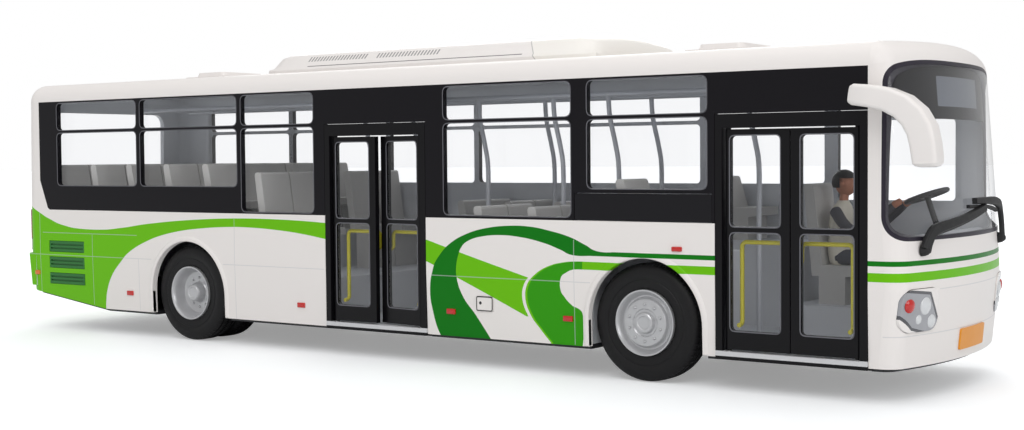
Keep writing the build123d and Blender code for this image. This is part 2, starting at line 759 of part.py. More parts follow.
seat_depth = 9.2
seat_pitch = 14.5


def rows_between(start, end, base, top):
    """Rows of seats at the pitch, as many as fit: x, floor height, top of the backs."""
    count = 1 + int((end - start - seat_depth) / seat_pitch)
    return [(start + place * seat_pitch, base, top) for place in range(count)]


pair = (seat_front, seat_aisle)
box_start = front_axle_x + arch_offset - wheel_pocket_radius - box_wall
platform_rows = rows_between(rear_x + 29.0, platform_x, rear_platform_z, 45.2)
step_row = [(platform_x + 4.5, step_z, 43.0)]
box_row = [(front_axle_x - 5.0, wheel_box_z, 41.5)]
right_rows = platform_rows + step_row + rows_between(mid_door_end + 14.0, box_start, floor_top, 35.5)
left_rows = platform_rows + step_row + rows_between(mid_door_end - 15.5, box_start, floor_top, 35.5)
right_seats = [seat_row(x, base, top, [-y for y in pair]) for x, base, top in right_rows]
right_seats += [seat_row(x, base, top, [-seat_front]) for x, base, top in box_row]
left_seats = [seat_row(x, base, top, pair) for x, base, top in left_rows]
left_seats += [seat_row(x, base, top, [seat_front]) for x, base, top in box_row]
bench_places = [place * (seat_width + seat_gap) for place in (-2, -1, 0, 1, 2)]
bench = seat_row(rear_x + 12.5, rear_platform_z, 45.2, bench_places)

with BuildPart() as seats_right:
    for row in right_seats:
        add(row)
seats_right.part.label = "seats_right"
export_step(seats_right.part, "parts/seats_right.step")

with BuildPart() as seats_left:
    for row in left_seats:
        add(row)
seats_left.part.label = "seats_left"
export_step(seats_left.part, "parts/seats_left.step")

with BuildPart() as seats_rear:
    add(bench)
seats_rear.part.label = "seats_rear"
export_step(seats_rear.part, "parts/seats_rear.step")

# Driver's place
driver_y = 15.0
driver_x = front_x - 34.5
with BuildPart() as driver_seat:
    with BuildSketch(Plane.XZ.offset(-driver_y - 5.2)) as profile:
        with BuildLine():
            Polyline((driver_x - 3, driver_floor_z), (driver_x + 3, driver_floor_z),
                     (driver_x + 3, driver_floor_z + 6), (driver_x + 6.5, driver_floor_z + 6.4),
                     (driver_x + 6.5, driver_floor_z + 8.4), (driver_x - 2.2, driver_floor_z + 8.4),
                     (driver_x - 4.4, driver_floor_z + 26), (driver_x - 6.6, driver_floor_z + 26),
                     (driver_x - 4.6, driver_floor_z + 6), (driver_x - 3, driver_floor_z + 6), close=True)
        make_face()
        fillet(profile.vertices().group_by(Axis.Y)[-1], 0.9)
    extrude(amount=10.4)
driver_seat.part.label = "driver_seat"
export_step(driver_seat.part, "parts/driver_seat.step")

wheel_x = front_x - 15.5
wheel_z = 37.4
wheel_ring = 4.4
with BuildPart() as steering_wheel:
    ring_plane = Plane(origin=(wheel_x, driver_y, wheel_z), x_dir=(0, 1, 0), z_dir=(-0.35, 0, 1))
    with BuildSketch(Plane(origin=ring_plane.origin, x_dir=ring_plane.x_dir,
                           z_dir=ring_plane.z_dir.cross(ring_plane.x_dir))):
        with Locations((wheel_ring, 0)):
            Circle(0.45)
    revolve(axis=Axis(ring_plane.origin, ring_plane.z_dir))
    with BuildSketch(ring_plane.offset(-0.35)):
        Rectangle(2 * wheel_ring, 1.0)
        Circle(1.3)
    extrude(amount=0.7)
    with BuildSketch(ring_plane.offset(-0.3)):
        Circle(0.6)
    extrude(amount=-8.0)
steering_wheel.part.label = "steering_wheel"
export_step(steering_wheel.part, "parts/steering_wheel.step")

dash_x = front_x - 15.5
dash_z = 30.5
with BuildPart() as dashboard:
    with BuildSketch(Plane.XZ.offset(-side_y)):
        with BuildLine():
            Polyline((dash_x, driver_floor_z), (front_x, driver_floor_z), (front_x, dash_z - 1.5),
                     (dash_x + 7.0, dash_z), (dash_x + 1.5, dash_z - 2.0), (dash_x, dash_z - 6.0),
                     close=True)
        make_face()
    extrude(amount=2 * side_y)
    with Locations((dash_x + 2, -side_y + 7.4, dash_z / 2 + 10)):
        Box(12, 16, dash_z, mode=Mode.SUBTRACT)
    add(saloon_bound, mode=Mode.INTERSECT)
dashboard.part.label = "dashboard"
export_step(dashboard.part, "parts/dashboard.step")

with BuildPart() as driver_figure:
    with Locations((driver_x + 0.6, driver_y, driver_floor_z + 8.5 + 6.5)):
        Box(4.2, 8.6, 13.0)
    with Locations((driver_x + 1.0, driver_y, driver_floor_z + 8.5 + 17.5)):
        Sphere(2.6)
    with Locations((driver_x + 0.8, driver_y, driver_floor_z + 8.5 + 14.2)):
        Cylinder(1.2, 3.0)
    for side in (-1, 1):
        with Locations((driver_x + 6.2, driver_y + side * 2.2, driver_floor_z + 8.6 + 1.4)):
            Box(9.0, 3.0, 2.8)
        with Locations((driver_x + 9.3, driver_y + side * 2.2, driver_floor_z + 5.2)):
            Box(2.6, 2.8, 10.0)
driver_figure.part.label = "driver_figure"
export_step(driver_figure.part, "parts/driver_figure.step")

# Handrails: poles from the floor to two rails under the roof
pole_radius = 0.45
rail_radius = 0.6
cross_bar_radius = 0.4
overhead_z = 60.0
overhead_y = 9.5
# Poles, each: x, y, foot height
rail_start = rear_x + 26.7
poles = [
    (mid_door_start - 2.0, -overhead_y, step_z), (mid_door_end + 3.0, -overhead_y, floor_top),
    (mid_door_end + 24.0, -overhead_y, floor_top), (front_axle_x - 17.0, -overhead_y, floor_top),
    (front_axle_x + 16.8, -overhead_y, floor_top),
    (mid_door_start - 2.0, overhead_y, step_z), (mid_door_end + 9.0, overhead_y, floor_top),
    (front_axle_x - 17.0, overhead_y, floor_top),
]
with BuildPart() as handrails:
    for side in (-1, 1):
        with BuildSketch(Plane.YZ.offset(rail_start)):
            with Locations((side * overhead_y, overhead_z)):
                Circle(rail_radius)
        extrude(amount=front_axle_x + 17.0 - rail_start)
    for x, y, foot in poles:
        with BuildSketch(Plane.XY.offset(foot)):
            with Locations((x, y)):
                Circle(pole_radius)
        extrude(amount=overhead_z - foot)
    for x in (rail_start + 10.0, mid_door_start, front_axle_x + 12.0):
        with BuildSketch(Plane.XZ.offset(-overhead_y)):
            with Locations((x, overhead_z)):
                Circle(cross_bar_radius)
        extrude(amount=2 * overhead_y)
handrails.part.label = "handrails"
export_step(handrails.part, "parts/handrails.step")

# Roof unit between two hatches, placed along the roof as drawn at its full length
roof_stretch = body_length / 259.4
unit_x0 = rear_x + 87.5 * roof_stretch
unit_length = 96.5 * roof_stretch
unit_base_half = 22.0
unit_shoulder_half = 17.5
unit_shoulder_z = 71.7
unit_top_z = 73.5
seat_form = body_form(0, skirt_z)
with BuildPart() as roof_unit:
    with BuildSketch(Plane.YZ.offset(unit_x0)):
        with BuildLine():
            Polyline((unit_shoulder_half, unit_shoulder_z), (unit_base_half - 0.6, roof_z + 0.6),
                     (unit_base_half, roof_z - 0.4), (unit_base_half, roof_z - 3),
                     (-unit_base_half, roof_z - 3), (-unit_base_half, roof_z - 0.4),
                     (-unit_base_half + 0.6, roof_z + 0.6), (-unit_shoulder_half, unit_shoulder_z))
            ThreePointArc((-unit_shoulder_half, unit_shoulder_z), (0, unit_top_z),
                          (unit_shoulder_half, unit_shoulder_z))
        make_face()
    extrude(amount=unit_length)
    with BuildSketch(Plane.XZ.offset(-side_y)) as side_profile:
        with BuildLine():
            Polyline((unit_x0, roof_z - 4), (unit_x0 + unit_length, roof_z - 4),
                     (unit_x0 + unit_length, roof_z + 2.5), (unit_x0 + unit_length - 3.5, unit_top_z + 1),
                     (unit_x0 + 2.5, unit_top_z + 1), (unit_x0, roof_z + 1.5), close=True)
        make_face()
    extrude(amount=body_width, mode=Mode.INTERSECT)
    add(seat_form, mode=Mode.SUBTRACT)
roof_unit.part.label = "roof_unit"
export_step(roof_unit.part, "parts/roof_unit.step")

hatch_half = 9.5
hatch_length = 14.5
hatch_rise = 2.0
hatch_starts = [rear_x + 46.0 * roof_stretch, front_x - 59.5 * roof_stretch]
with BuildPart() as roof_hatches:
    for x0 in hatch_starts:
        with Locations((x0 + hatch_length / 2, 0, roof_z - 1)):
            Box(hatch_length, 2 * hatch_half, 3.6)
        with BuildSketch(Plane.XY.offset(roof_z + 0.7)):
            with Locations((x0 + hatch_length / 2, 0)):
                RectangleRounded(hatch_length - 3.0, 2 * hatch_half - 3.0, 2)
        extrude(amount=hatch_rise - 0.7, taper=25)
    add(seat_form, mode=Mode.SUBTRACT)
roof_hatches.part.label = "roof_hatches"
export_step(roof_hatches.part, "parts/roof_hatches.step")

# Mirrors: a horn arm sweeping forward on the right, a short one on the left
mirror_reach = 35.5
mirror_front = front_x + 4.3
with BuildPart() as mirror_right:
    with BuildSketch(Plane.XZ.offset(side_y + 1.4)) as outline:
        with BuildLine():
            Polyline((front_x - 12.4, 58.6), (front_x - 5.6, 57.9), (front_x - 1.9, 56.6),
                     (front_x + 0.9, 54.6), (front_x + 2.4, 52.0), (mirror_front, 44.6),
                     (mirror_front - 1.0, 43.6), (front_x + 0.6, 43.6), (front_x - 0.6, 44.6),
                     (front_x - 0.6, 50.6), (front_x - 2.0, 52.4), (front_x - 4.7, 53.7),
                     (front_x - 10.4, 54.9), close=True)
        make_face()
    extrude(amount=mirror_reach - side_y - 1.4)
    with Locations((front_x - 9.2, -side_y - 1.5, 56.8)):
        Box(2.4, 3.0, 2.6)
mirror_right.part.label = "mirror_right"
export_step(mirror_right.part, "parts/mirror_right.step")

with BuildPart() as mirror_left:
    with Locations((front_x - 12.0, side_y + 3.7, 49.5)):
        Box(2.6, 5.0, 11.0)
    with Locations((front_x - 12.0, side_y + 1.5, 56.0)):
        Box(2.2, 3.0, 2.2)
mirror_left.part.label = "mirror_left"
export_step(mirror_left.part, "parts/mirror_left.step")

# Wipers, number plates, rear bumper and engine cover, all following the body's form
wiper_skin = skin(-1.3, -0.35)
boss_skin = skin(-1.3, 0)
wiper_bosses = nose_patches(boss_skin, [(-23.3, -20.9, 26.4, 28.8, 1.0), (20.9, 23.3, 26.4, 28.8, 1.0)])
with BuildPart() as wipers:
    with BuildSketch(Plane.YZ):
        for y_pivot, y_blade, z_blade, blade_half in ((-22.1, -7.0, 33.2, 11.0), (22.1, 8.0, 36.0, 11.0)):
            with BuildLine():
                Polyline((y_pivot - 0.6, 27.4), (y_pivot + 0.6, 27.4), (y_blade + 0.5, z_blade),
                         (y_blade - 0.5, z_blade), close=True)
            make_face()
            with Locations((y_blade, z_blade)):
                Rectangle(2 * blade_half, 0.9, rotation=2.0)
    extrude(amount=front_x + beyond)
    add(wiper_skin, mode=Mode.INTERSECT)
    add(wiper_bosses)
wipers.part.label = "wipers"
export_step(wipers.part, "parts/wipers.step")

plate_skin = skin(-0.35, 0)
front_plate = nose_patches(plate_skin, [(-6.9, 6.9, 8.3, 12.4, 0.4)])
bumper_skin = skin(-bumper_proud, 0)
rear_plate_skin = skin(-bumper_proud - 0.35, -bumper_proud)
rear_plate = tail_patches(rear_plate_skin, [(-6.9, 6.9, 13.6, 17.7, 0.4)])
with BuildPart() as number_plates:
    add(front_plate)
    add(rear_plate)
number_plates.part.label = "number_plates"
export_step(number_plates.part, "parts/number_plates.step")

with BuildPart() as rear_bumper:
    with BuildSketch(Plane.YZ.offset(rear_x + bumper_reach)):
        with Locations((0, (11.8 + rear_bumper_top) / 2)):
            Rectangle(body_width, rear_bumper_top - 11.8)
    extrude(amount=-beyond - bumper_reach)
    add(bumper_skin, mode=Mode.INTERSECT)
rear_bumper.part.label = "rear_bumper"
export_step(rear_bumper.part, "parts/rear_bumper.step")

y0, y1, z0, z1, corner = engine_cover_outline
cover_skin = skin(0, lamp_depth - fit)
cover_panel = tail_patches(cover_skin, [(y0 + fit, y1 - fit, z0 + fit, z1 - fit, corner - fit)])
with BuildPart() as engine_cover:
    add(cover_panel)
    with BuildSketch(Plane.YZ):
        with Locations((0, (z0 + z1) / 2)):
            with GridLocations(0, 1.6, 1, 6):
                Rectangle(y1 - y0 - 6, 0.6)
    extrude(amount=rear_x - beyond, mode=Mode.SUBTRACT)
engine_cover.part.label = "engine_cover"
export_step(engine_cover.part, "parts/engine_cover.step")
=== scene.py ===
import json
import math

import bmesh
import bpy
from mathutils import Matrix, Vector
from mathutils.bvhtree import BVHTree


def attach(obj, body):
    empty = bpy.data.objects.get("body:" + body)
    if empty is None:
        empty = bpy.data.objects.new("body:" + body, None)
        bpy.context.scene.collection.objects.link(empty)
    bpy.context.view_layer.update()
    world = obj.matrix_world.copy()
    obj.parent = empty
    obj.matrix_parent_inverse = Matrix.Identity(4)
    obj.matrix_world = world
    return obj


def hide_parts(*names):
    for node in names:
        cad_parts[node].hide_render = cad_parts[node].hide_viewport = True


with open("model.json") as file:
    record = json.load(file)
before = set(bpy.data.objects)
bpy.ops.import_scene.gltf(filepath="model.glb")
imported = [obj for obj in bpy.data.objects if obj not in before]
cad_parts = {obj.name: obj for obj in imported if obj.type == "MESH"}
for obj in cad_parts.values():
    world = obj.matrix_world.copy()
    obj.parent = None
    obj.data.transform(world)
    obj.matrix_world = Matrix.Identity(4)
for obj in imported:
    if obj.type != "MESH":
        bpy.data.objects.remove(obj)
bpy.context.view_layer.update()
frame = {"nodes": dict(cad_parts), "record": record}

MM = 0.001
nodes = frame["nodes"]

# Main sizes of the model, in millimetres, as in part.py
REAR_X, FRONT_X = -131.85, 127.55
SIDE_Y = 29.3
ROOF_Z = 67.9
FRONT_AXLE_X, REAR_AXLE_X, AXLE_Z = 68.45, -65.65, 12.2
BAND_LOW, BAND_HIGH = 32.9, 62.5
BAND_FRONT = 116.75
ARCHES = (FRONT_AXLE_X + 0.6, REAR_AXLE_X + 0.6)
ARCH_RADIUS = 13.3
TYRE_RADIUS, TYRE_WIDTH, TYRE_Y = 12.2, 6.9, 27.7
TWIN_Y = TYRE_Y - TYRE_WIDTH - 0.9
SCREEN_X, SCREEN_LOW, SCREEN_TOP, SCREEN_CORNER = 120.05, 30.9, 63.2, 4.0
DRIVER = Vector((94.05, 15.0, 40.0))


def rgb(red, green, blue):
    """Linear colour from a display colour given as 0 to 255."""
    def linear(value):
        value /= 255
        return value / 12.92 if value <= 0.04045 else ((value + 0.055) / 1.055) ** 2.4
    return (linear(red), linear(green), linear(blue), 1.0)


OFF_WHITE = rgb(236, 231, 228)
LIGHT_GREEN = rgb(106, 190, 0)
MEDIUM_GREEN = rgb(48, 152, 0)
DARK_GREEN = rgb(0, 116, 8)
BAND_BLACK = rgb(16, 14, 19)
LINING_GREY = rgb(214, 216, 220)
SEAM_GREY = rgb(196, 197, 200)


class Shader:
    """One procedural material, built by short calls that add nodes and join them."""

    def __init__(self, name, **values):
        self.material = bpy.data.materials.new(name)
        self.material.use_nodes = True
        self.tree = self.material.node_tree
        self.surface = self.tree.nodes["Principled BSDF"]
        self.output = self.tree.nodes["Material Output"]
        for key, value in values.items():
            self.surface.inputs[SOCKETS[key]].default_value = value
        self._mm = None

    def put(self, socket, value):
        if isinstance(value, bpy.types.NodeSocket):
            self.tree.links.new(value, socket)
        else:
            socket.default_value = value

    def add(self, kind, inputs=(), **settings):
        node = self.tree.nodes.new("ShaderNode" + kind)
        for key, value in settings.items():
            setattr(node, key, value)
        for key, value in dict(inputs).items():
            self.put(node.inputs[key], value)
        return node

    def math(self, operation, *values):
        node = self.add("Math", operation=operation)
        for socket, value in zip(node.inputs, values):
            self.put(socket, value)
        return node.outputs[0]

    def mm(self):
        """x, y and z of the object's own frame, in millimetres."""
        if self._mm is None:
            place = self.add("TexCoord").outputs["Object"]
            scaled = self.add("VectorMath", {0: place, "Scale": 1000.0}, operation="SCALE")
            self._mm = self.add("SeparateXYZ", {0: scaled.outputs[0]}).outputs
        return self._mm

    def over(self, value, edge):
        return self.math("GREATER_THAN", value, edge)

    def under(self, value, edge):
        return self.math("LESS_THAN", value, edge)

    def every(self, *masks):
        result = masks[0]
        for mask in masks[1:]:
            result = self.math("MULTIPLY", result, mask)
        return result

    def either(self, *masks):
        result = masks[0]
        for mask in masks[1:]:
            result = self.math("MAXIMUM", result, mask)
        return result

    def no(self, mask):
        return self.math("SUBTRACT", 1.0, mask)

    def between(self, value, low, high):
        return self.every(self.over(value, low), self.under(value, high))

    def edge(self, value, points, handle="AUTO"):
        """Smooth curve through points given as (value, result), level beyond both ends."""
        starts, results = [p[0] for p in points], [p[1] for p in points]
        low, span = min(starts), max(starts) - min(starts)
        base, rise = min(results), max(results) - min(results)
        node = self.add("FloatCurve")
        curve = node.mapping.curves[0]
        spots = sorted(((s - low) / span, (r - base) / rise) for s, r in points)
        curve.points[0].location = spots[0]
        curve.points[1].location = spots[-1]
        for spot in spots[1:-1]:
            curve.points.new(*spot)
        for point in curve.points:
            point.handle_type = handle
        node.mapping.extend = "HORIZONTAL"
        node.mapping.update()
        self.put(node.inputs["Value"], self.math("DIVIDE", self.math("SUBTRACT", value, low), span))
        return self.math("MULTIPLY_ADD", node.outputs[0], rise, base)

    def mix(self, mask, below, above):
        node = self.add("Mix", data_type="RGBA")
        self.put(node.inputs["Factor"], mask)
        self.put(node.inputs[6], below)
        self.put(node.inputs[7], above)
        return node.outputs[2]

    def noise(self, scale, detail=3.0, rough=0.5):
        """Noise in the object's own frame; scale is in features per metre."""
        place = self.add("TexCoord").outputs["Object"]
        return self.add("TexNoise", {"Vector": place, "Scale": scale, "Detail": detail,
                                     "Roughness": rough}).outputs[0]

    def spread(self, value, low, high):
        node = self.add("MapRange", {"Value": value, "To Min": low, "To Max": high})
        return node.outputs[0]

    def bump(self, height, strength, distance):
        node = self.add("Bump", {"Height": height, "Strength": strength, "Distance": distance})
        self.put(self.surface.inputs["Normal"], node.outputs[0])

    def colour(self, value):
        self.put(self.surface.inputs["Base Color"], value)

    def roughness(self, value):
        self.put(self.surface.inputs["Roughness"], value)


SOCKETS = {"color": "Base Color", "metallic": "Metallic", "rough": "Roughness", "ior": "IOR",
           "coat": "Coat Weight", "coat_rough": "Coat Roughness", "specular": "Specular IOR Level",
           "transmission": "Transmission Weight", "subsurface": "Subsurface Weight",
           "sheen": "Sheen Weight"}


# Outlines of the printed livery on the sides, in millimetres: (x, z) or (z, x)
SWOOSH_TOP = [(-131.3, 35.5), (-123.9, 32.0), (-119.6, 30.3), (-113.2, 28.6), (-106.9, 27.9),
              (-98.6, 27.8), (-90.6, 28.4), (-78.8, 29.8), (-60.0, 31.2), (-45.0, 31.7),
              (-30.0, 31.6), (-17.6, 31.1)]
SWOOSH_LOW = [(-97.4, 0.0), (-97.2, 6.9), (-96.3, 11.8), (-94.1, 15.9), (-90.8, 19.2),
              (-86.8, 22.3), (-78.9, 25.6), (-75.0, 26.7), (-67.5, 28.1), (-60.1, 28.9),
              (-49.4, 29.5), (-42.4, 29.5), (-32.3, 29.0), (-25.7, 28.4), (-17.6, 27.3)]
BAND_TOP = [(13.1, 27.9), (18.8, 26.3), (40.6, 20.5)]
BAND_BOTTOM = [(13.1, 23.0), (21.8, 19.6), (40.0, 12.1)]
LOOP_TOP = [(13.5, 19.0), (14.6, 21.6), (16.8, 24.7), (19.6, 27.2), (23.8, 29.3), (29.3, 30.8),
            (36.0, 31.5), (41.2, 31.4), (46.4, 30.6), (51.4, 29.4), (55.1, 27.9), (58.6, 26.55),
            (62.0, 26.55)]
LOOP_LEFT = [(6.4, 16.6), (12.2, 14.4), (16.2, 13.8), (21.2, 14.7), (24.7, 16.8)]
LOOP_INNER_TOP = [(21.2, 21.0), (21.5, 24.0), (22.6, 26.2), (24.4, 27.8), (27.9, 28.9),
                  (33.3, 29.4), (38.6, 29.1), (45.1, 27.9), (48.9, 26.7), (52.2, 25.6),
                  (56.0, 25.6)]
LOOP_INNER_LEFT = [(6.6, 30.4), (11.7, 26.4), (16.0, 22.8), (19.3, 21.5), (21.9, 21.3),
                   (25.9, 22.4)]
FIN_LEFT = [(6.8, 46.2), (9.5, 43.6), (12.5, 41.1), (16.1, 39.8), (18.9, 40.3), (21.2, 42.4),
            (23.0, 45.6), (24.0, 49.4), (24.36, 53.8)]
FIN_RIGHT = [(6.8, 54.2), (13.4, 54.3), (15.0, 51.8), (16.6, 50.0), (18.7, 48.8), (20.4, 48.9),
             (21.9, 50.4), (22.7, 53.4)]


def livery(s, x, z):
    """The white body's printed greens, as one colour in the object's own frame."""
    color = OFF_WHITE
    swoosh = s.every(s.under(x, -17.0), s.under(z, s.edge(x, SWOOSH_TOP)),
                     s.over(z, s.edge(x, SWOOSH_LOW)))
    fin_left = s.edge(z, FIN_LEFT)
    inside_band = s.every(s.over(x, 12.0), s.under(z, s.edge(x, BAND_TOP)),
                          s.over(z, s.edge(x, BAND_BOTTOM)),
                          s.under(x, s.math("SUBTRACT", fin_left, 0.8)))
    stripe = s.every(s.over(x, 53.0), s.between(z, 22.7, 24.36))
    color = s.mix(s.either(swoosh, inside_band, stripe), color, LIGHT_GREEN)
    loop = s.every(s.over(x, s.edge(z, LOOP_LEFT)), s.under(z, s.edge(x, LOOP_TOP)),
                   s.no(s.every(s.over(x, s.edge(z, LOOP_INNER_LEFT)),
                                s.under(z, s.edge(x, LOOP_INNER_TOP)))))
    color = s.mix(loop, color, DARK_GREEN)
    fin = s.every(s.over(x, fin_left), s.under(z, 24.36), s.under(x, 54.4),
                  s.either(s.under(x, s.edge(z, FIN_RIGHT)), s.over(z, 22.7)))
    color = s.mix(fin, color, LIGHT_GREEN)
    fin_face = s.every(fin, s.over(x, s.math("ADD", fin_left, 0.55)))
    return s.mix(fin_face, color, MEDIUM_GREEN)


# Panel seams of the sides and the nose, each: axis that stays, its value, start, end of the other
SIDE_SEAMS = [("x", -124.0, 9.7, 32.0), ("z", 26.6, -122.8, -84.0), ("z", 20.5, -131.4, -78.5),
              ("x", -101.9, 7.5, 26.4), ("x", -83.5, 7.1, 20.6), ("x", -47.9, 6.6, 31.5),
              ("z", 20.1, -52.1, -18.1), ("z", 20.0, 14.2, 56.3), ("x", 52.3, 6.8, 28.9)]
NOSE_SEAMS = [("z", 20.9, -17.0, 17.0), ("z", 12.6, -29.3, 29.3)]


def seams(s, along, up, rows, half=0.1):
    """Mask of thin straight seams in a plane of two coordinates."""
    masks = []
    for kind, value, start, end in rows:
        fixed, other = (along, up) if kind == "x" else (up, along)
        gap = s.math("ABSOLUTE", s.math("SUBTRACT", fixed, value))
        masks.append(s.every(s.under(gap, half), s.between(other, start, end)))
    return s.either(*masks)


def body_paint():
    s = Shader("body_paint", specular=0.18)
    x, y, z = s.mm()
    color = livery(s, x, z)
    side = s.over(s.math("ABSOLUTE", y), SIDE_Y - 2.6)
    rear_edge = s.edge(z, [(32.9, -119.6), (33.4, -120.4), (41.0, -123.5), (62.5, -123.55)], "VECTOR")
    band = s.every(side, s.between(z, BAND_LOW, BAND_HIGH), s.over(x, rear_edge),
                   s.under(x, BAND_FRONT))
    nose = s.over(x, 119.5)
    seam = s.either(s.every(side, s.under(x, BAND_FRONT), seams(s, x, z, SIDE_SEAMS)),
                    s.every(nose, seams(s, y, z, NOSE_SEAMS)))
    color = s.mix(s.math("MULTIPLY", seam, 0.5), color, SEAM_GREY)
    color = s.mix(band, color, BAND_BLACK)
    # Dark rubber seal round the windscreen, at a distance from its rounded outline
    out_x = s.math("MAXIMUM", s.math("SUBTRACT", SCREEN_X + SCREEN_CORNER, x), 0.0)
    mid_z, half_z = (SCREEN_LOW + SCREEN_TOP) / 2, (SCREEN_TOP - SCREEN_LOW) / 2 - SCREEN_CORNER
    off_z = s.math("ABSOLUTE", s.math("SUBTRACT", z, mid_z))
    out_z = s.math("MAXIMUM", s.math("SUBTRACT", off_z, half_z), 0.0)
    reach = s.math("SQRT", s.math("ADD", s.math("MULTIPLY", out_x, out_x), s.math("MULTIPLY", out_z, out_z)))
    seal = s.every(s.over(x, SCREEN_X - 2), s.under(reach, SCREEN_CORNER + 0.75))
    color = s.mix(seal, color, rgb(46, 42, 52))
    normal = s.add("SeparateXYZ", {0: s.add("NewGeometry").outputs["True Normal"]}).outputs
    facing_in = s.every(s.over(s.math("MULTIPLY", s.math("SIGN", y), normal[1]), -2.0),
                        s.under(s.math("MULTIPLY", s.math("SIGN", y), normal[1]), -0.5))
    ceiling = s.every(s.under(normal[2], -0.4), s.over(z, 63.5))
    ends = s.either(s.every(s.under(normal[0], -0.6), s.over(x, 118.5)),
                    s.every(s.over(normal[0], 0.6), s.under(x, -124.0)))
    color = s.mix(s.either(facing_in, ceiling, ends), color, LINING_GREY)
    s.colour(color)
    s.roughness(s.spread(s.noise(900.0), 0.26, 0.38))
    s.bump(s.noise(2600.0, 2.0), 0.08, 0.00004)
    return s.material


def plain(name, color, rough, grain=1500.0, depth=0.00003, tint=0.06, **values):
    """Painted or moulded finish: slight mottling of colour, uneven gloss and a fine grain."""
    s = Shader(name, **values)
    darker = tuple(c * (1 - tint) for c in color[:3]) + (1.0,)
    s.colour(s.mix(s.noise(grain * 0.2), color, darker))
    s.roughness(s.spread(s.noise(grain * 0.6), rough * 0.85, min(1.0, rough * 1.15)))
    s.bump(s.noise(grain, 2.0), 0.25, depth)
    return s.material


def clear_plastic(name, tint):
    """Clear moulded plastic: lets the view through and mirrors the studio at a glance."""
    s = Shader(name)
    see = s.add("BsdfTransparent", {"Color": tint})
    gloss = s.add("BsdfGlossy", {"Roughness": 0.04, "Color": (1, 1, 1, 1)})
    front = s.no(s.add("NewGeometry").outputs["Backfacing"])
    amount = s.every(s.add("Fresnel", {"IOR": 1.45}).outputs[0], front)
    blend = s.add("MixShader", {0: amount})
    s.tree.links.new(see.outputs[0], blend.inputs[1])
    s.tree.links.new(gloss.outputs[0], blend.inputs[2])
    s.tree.links.new(blend.outputs[0], s.output.inputs["Surface"])
    return s.material


def zoned(name, rough, base, zones, grain=1500.0, **values):
    """Moulded finish whose colour changes from zone to zone; zones(s, x, y, z) gives (mask, colour)."""
    s = Shader(name, **values)
    color = s.mix(s.noise(grain * 0.2), base, tuple(c * 0.95 for c in base[:3]) + (1.0,))
    for mask, zone_color in zones(s, *s.mm()):
        color = s.mix(mask, color, zone_color)
    s.colour(color)
    s.roughness(s.spread(s.noise(grain * 0.6), rough * 0.85, rough * 1.15))
    s.bump(s.noise(grain, 2.0), 0.2, 0.00003)
    return s.material


def figure():
    """The driver: cream shirt, dark trousers and darker shoes low down, and skin on the head, in bands of height.
    """
    def zones(s, x, y, z):
        return [(s.under(z, 25.6), rgb(52, 54, 66)),
                (s.under(z, 16.3), rgb(28, 26, 26)),
                (s.over(z, 36.6), rgb(196, 132, 104))]
    return zoned("figure", 0.6, rgb(226, 220, 202), zones)


def display():
    """Black route displays, with the blank grey field of the front one."""
    def zones(s, x, y, z):
        return [(s.every(s.over(x, 100.0), s.between(y, -11.0, 12.5), s.between(z, 55.3, 61.1)),
                 rgb(112, 116, 124))]
    return zoned("display", 0.3, rgb(22, 21, 25), zones, specular=0.2)


def door_black():
    """Black door parts over a bright metal tread strip."""
    def zones(s, x, y, z):
        return [(s.every(s.between(z, 6.9, 7.9), s.under(y, -27.0)), rgb(206, 206, 208))]
    return zoned("door_black", 0.3, rgb(14, 13, 16), zones, specular=0.2)


# The headlamp's lens seen from the front: (y, z) of its corners, out from the middle
LENS = [(29.9, 17.2), (29.9, 21.6), (20.4, 20.6), (15.9, 13.6), (17.0, 12.6), (20.4, 12.5), (25.6, 13.7)]


def inside(s, across, up, corners, margin=0.0):
    """Mask of a convex outline given anticlockwise, drawn in by a margin."""
    masks = []
    for (y0, z0), (y1, z1) in zip(corners, corners[1:] + corners[:1]):
        length = math.hypot(y1 - y0, z1 - z0)
        ny, nz = (z0 - z1) / length, (y1 - y0) / length
        side = s.math("ADD", s.math("MULTIPLY", across, ny), s.math("MULTIPLY", up, nz))
        masks.append(s.over(side, y0 * ny + z0 * nz + margin))
    return s.every(*masks)


def headlamp():
    """Silvered reflector behind a dark lens edge, with body paint outside the lens."""
    def zones(s, x, y, z):
        off = s.math("ABSOLUTE", y)
        return [(s.no(inside(s, off, z, LENS, 0.55)), rgb(66, 66, 72)),
                (s.no(inside(s, off, z, LENS)), OFF_WHITE)]
    return zoned("lamp", 0.16, rgb(156, 157, 162), zones, specular=0.6, coat=0.6)


def tail_lamp():
    """Dark red lens over a clear reversing lamp."""
    def zones(s, x, y, z):
        return [(s.under(z, 24.6), rgb(214, 212, 210)), (s.between(z, 24.6, 24.9), rgb(40, 30, 30))]
    return zoned("lamp_red", 0.2, rgb(128, 12, 14), zones, coat=0.8)


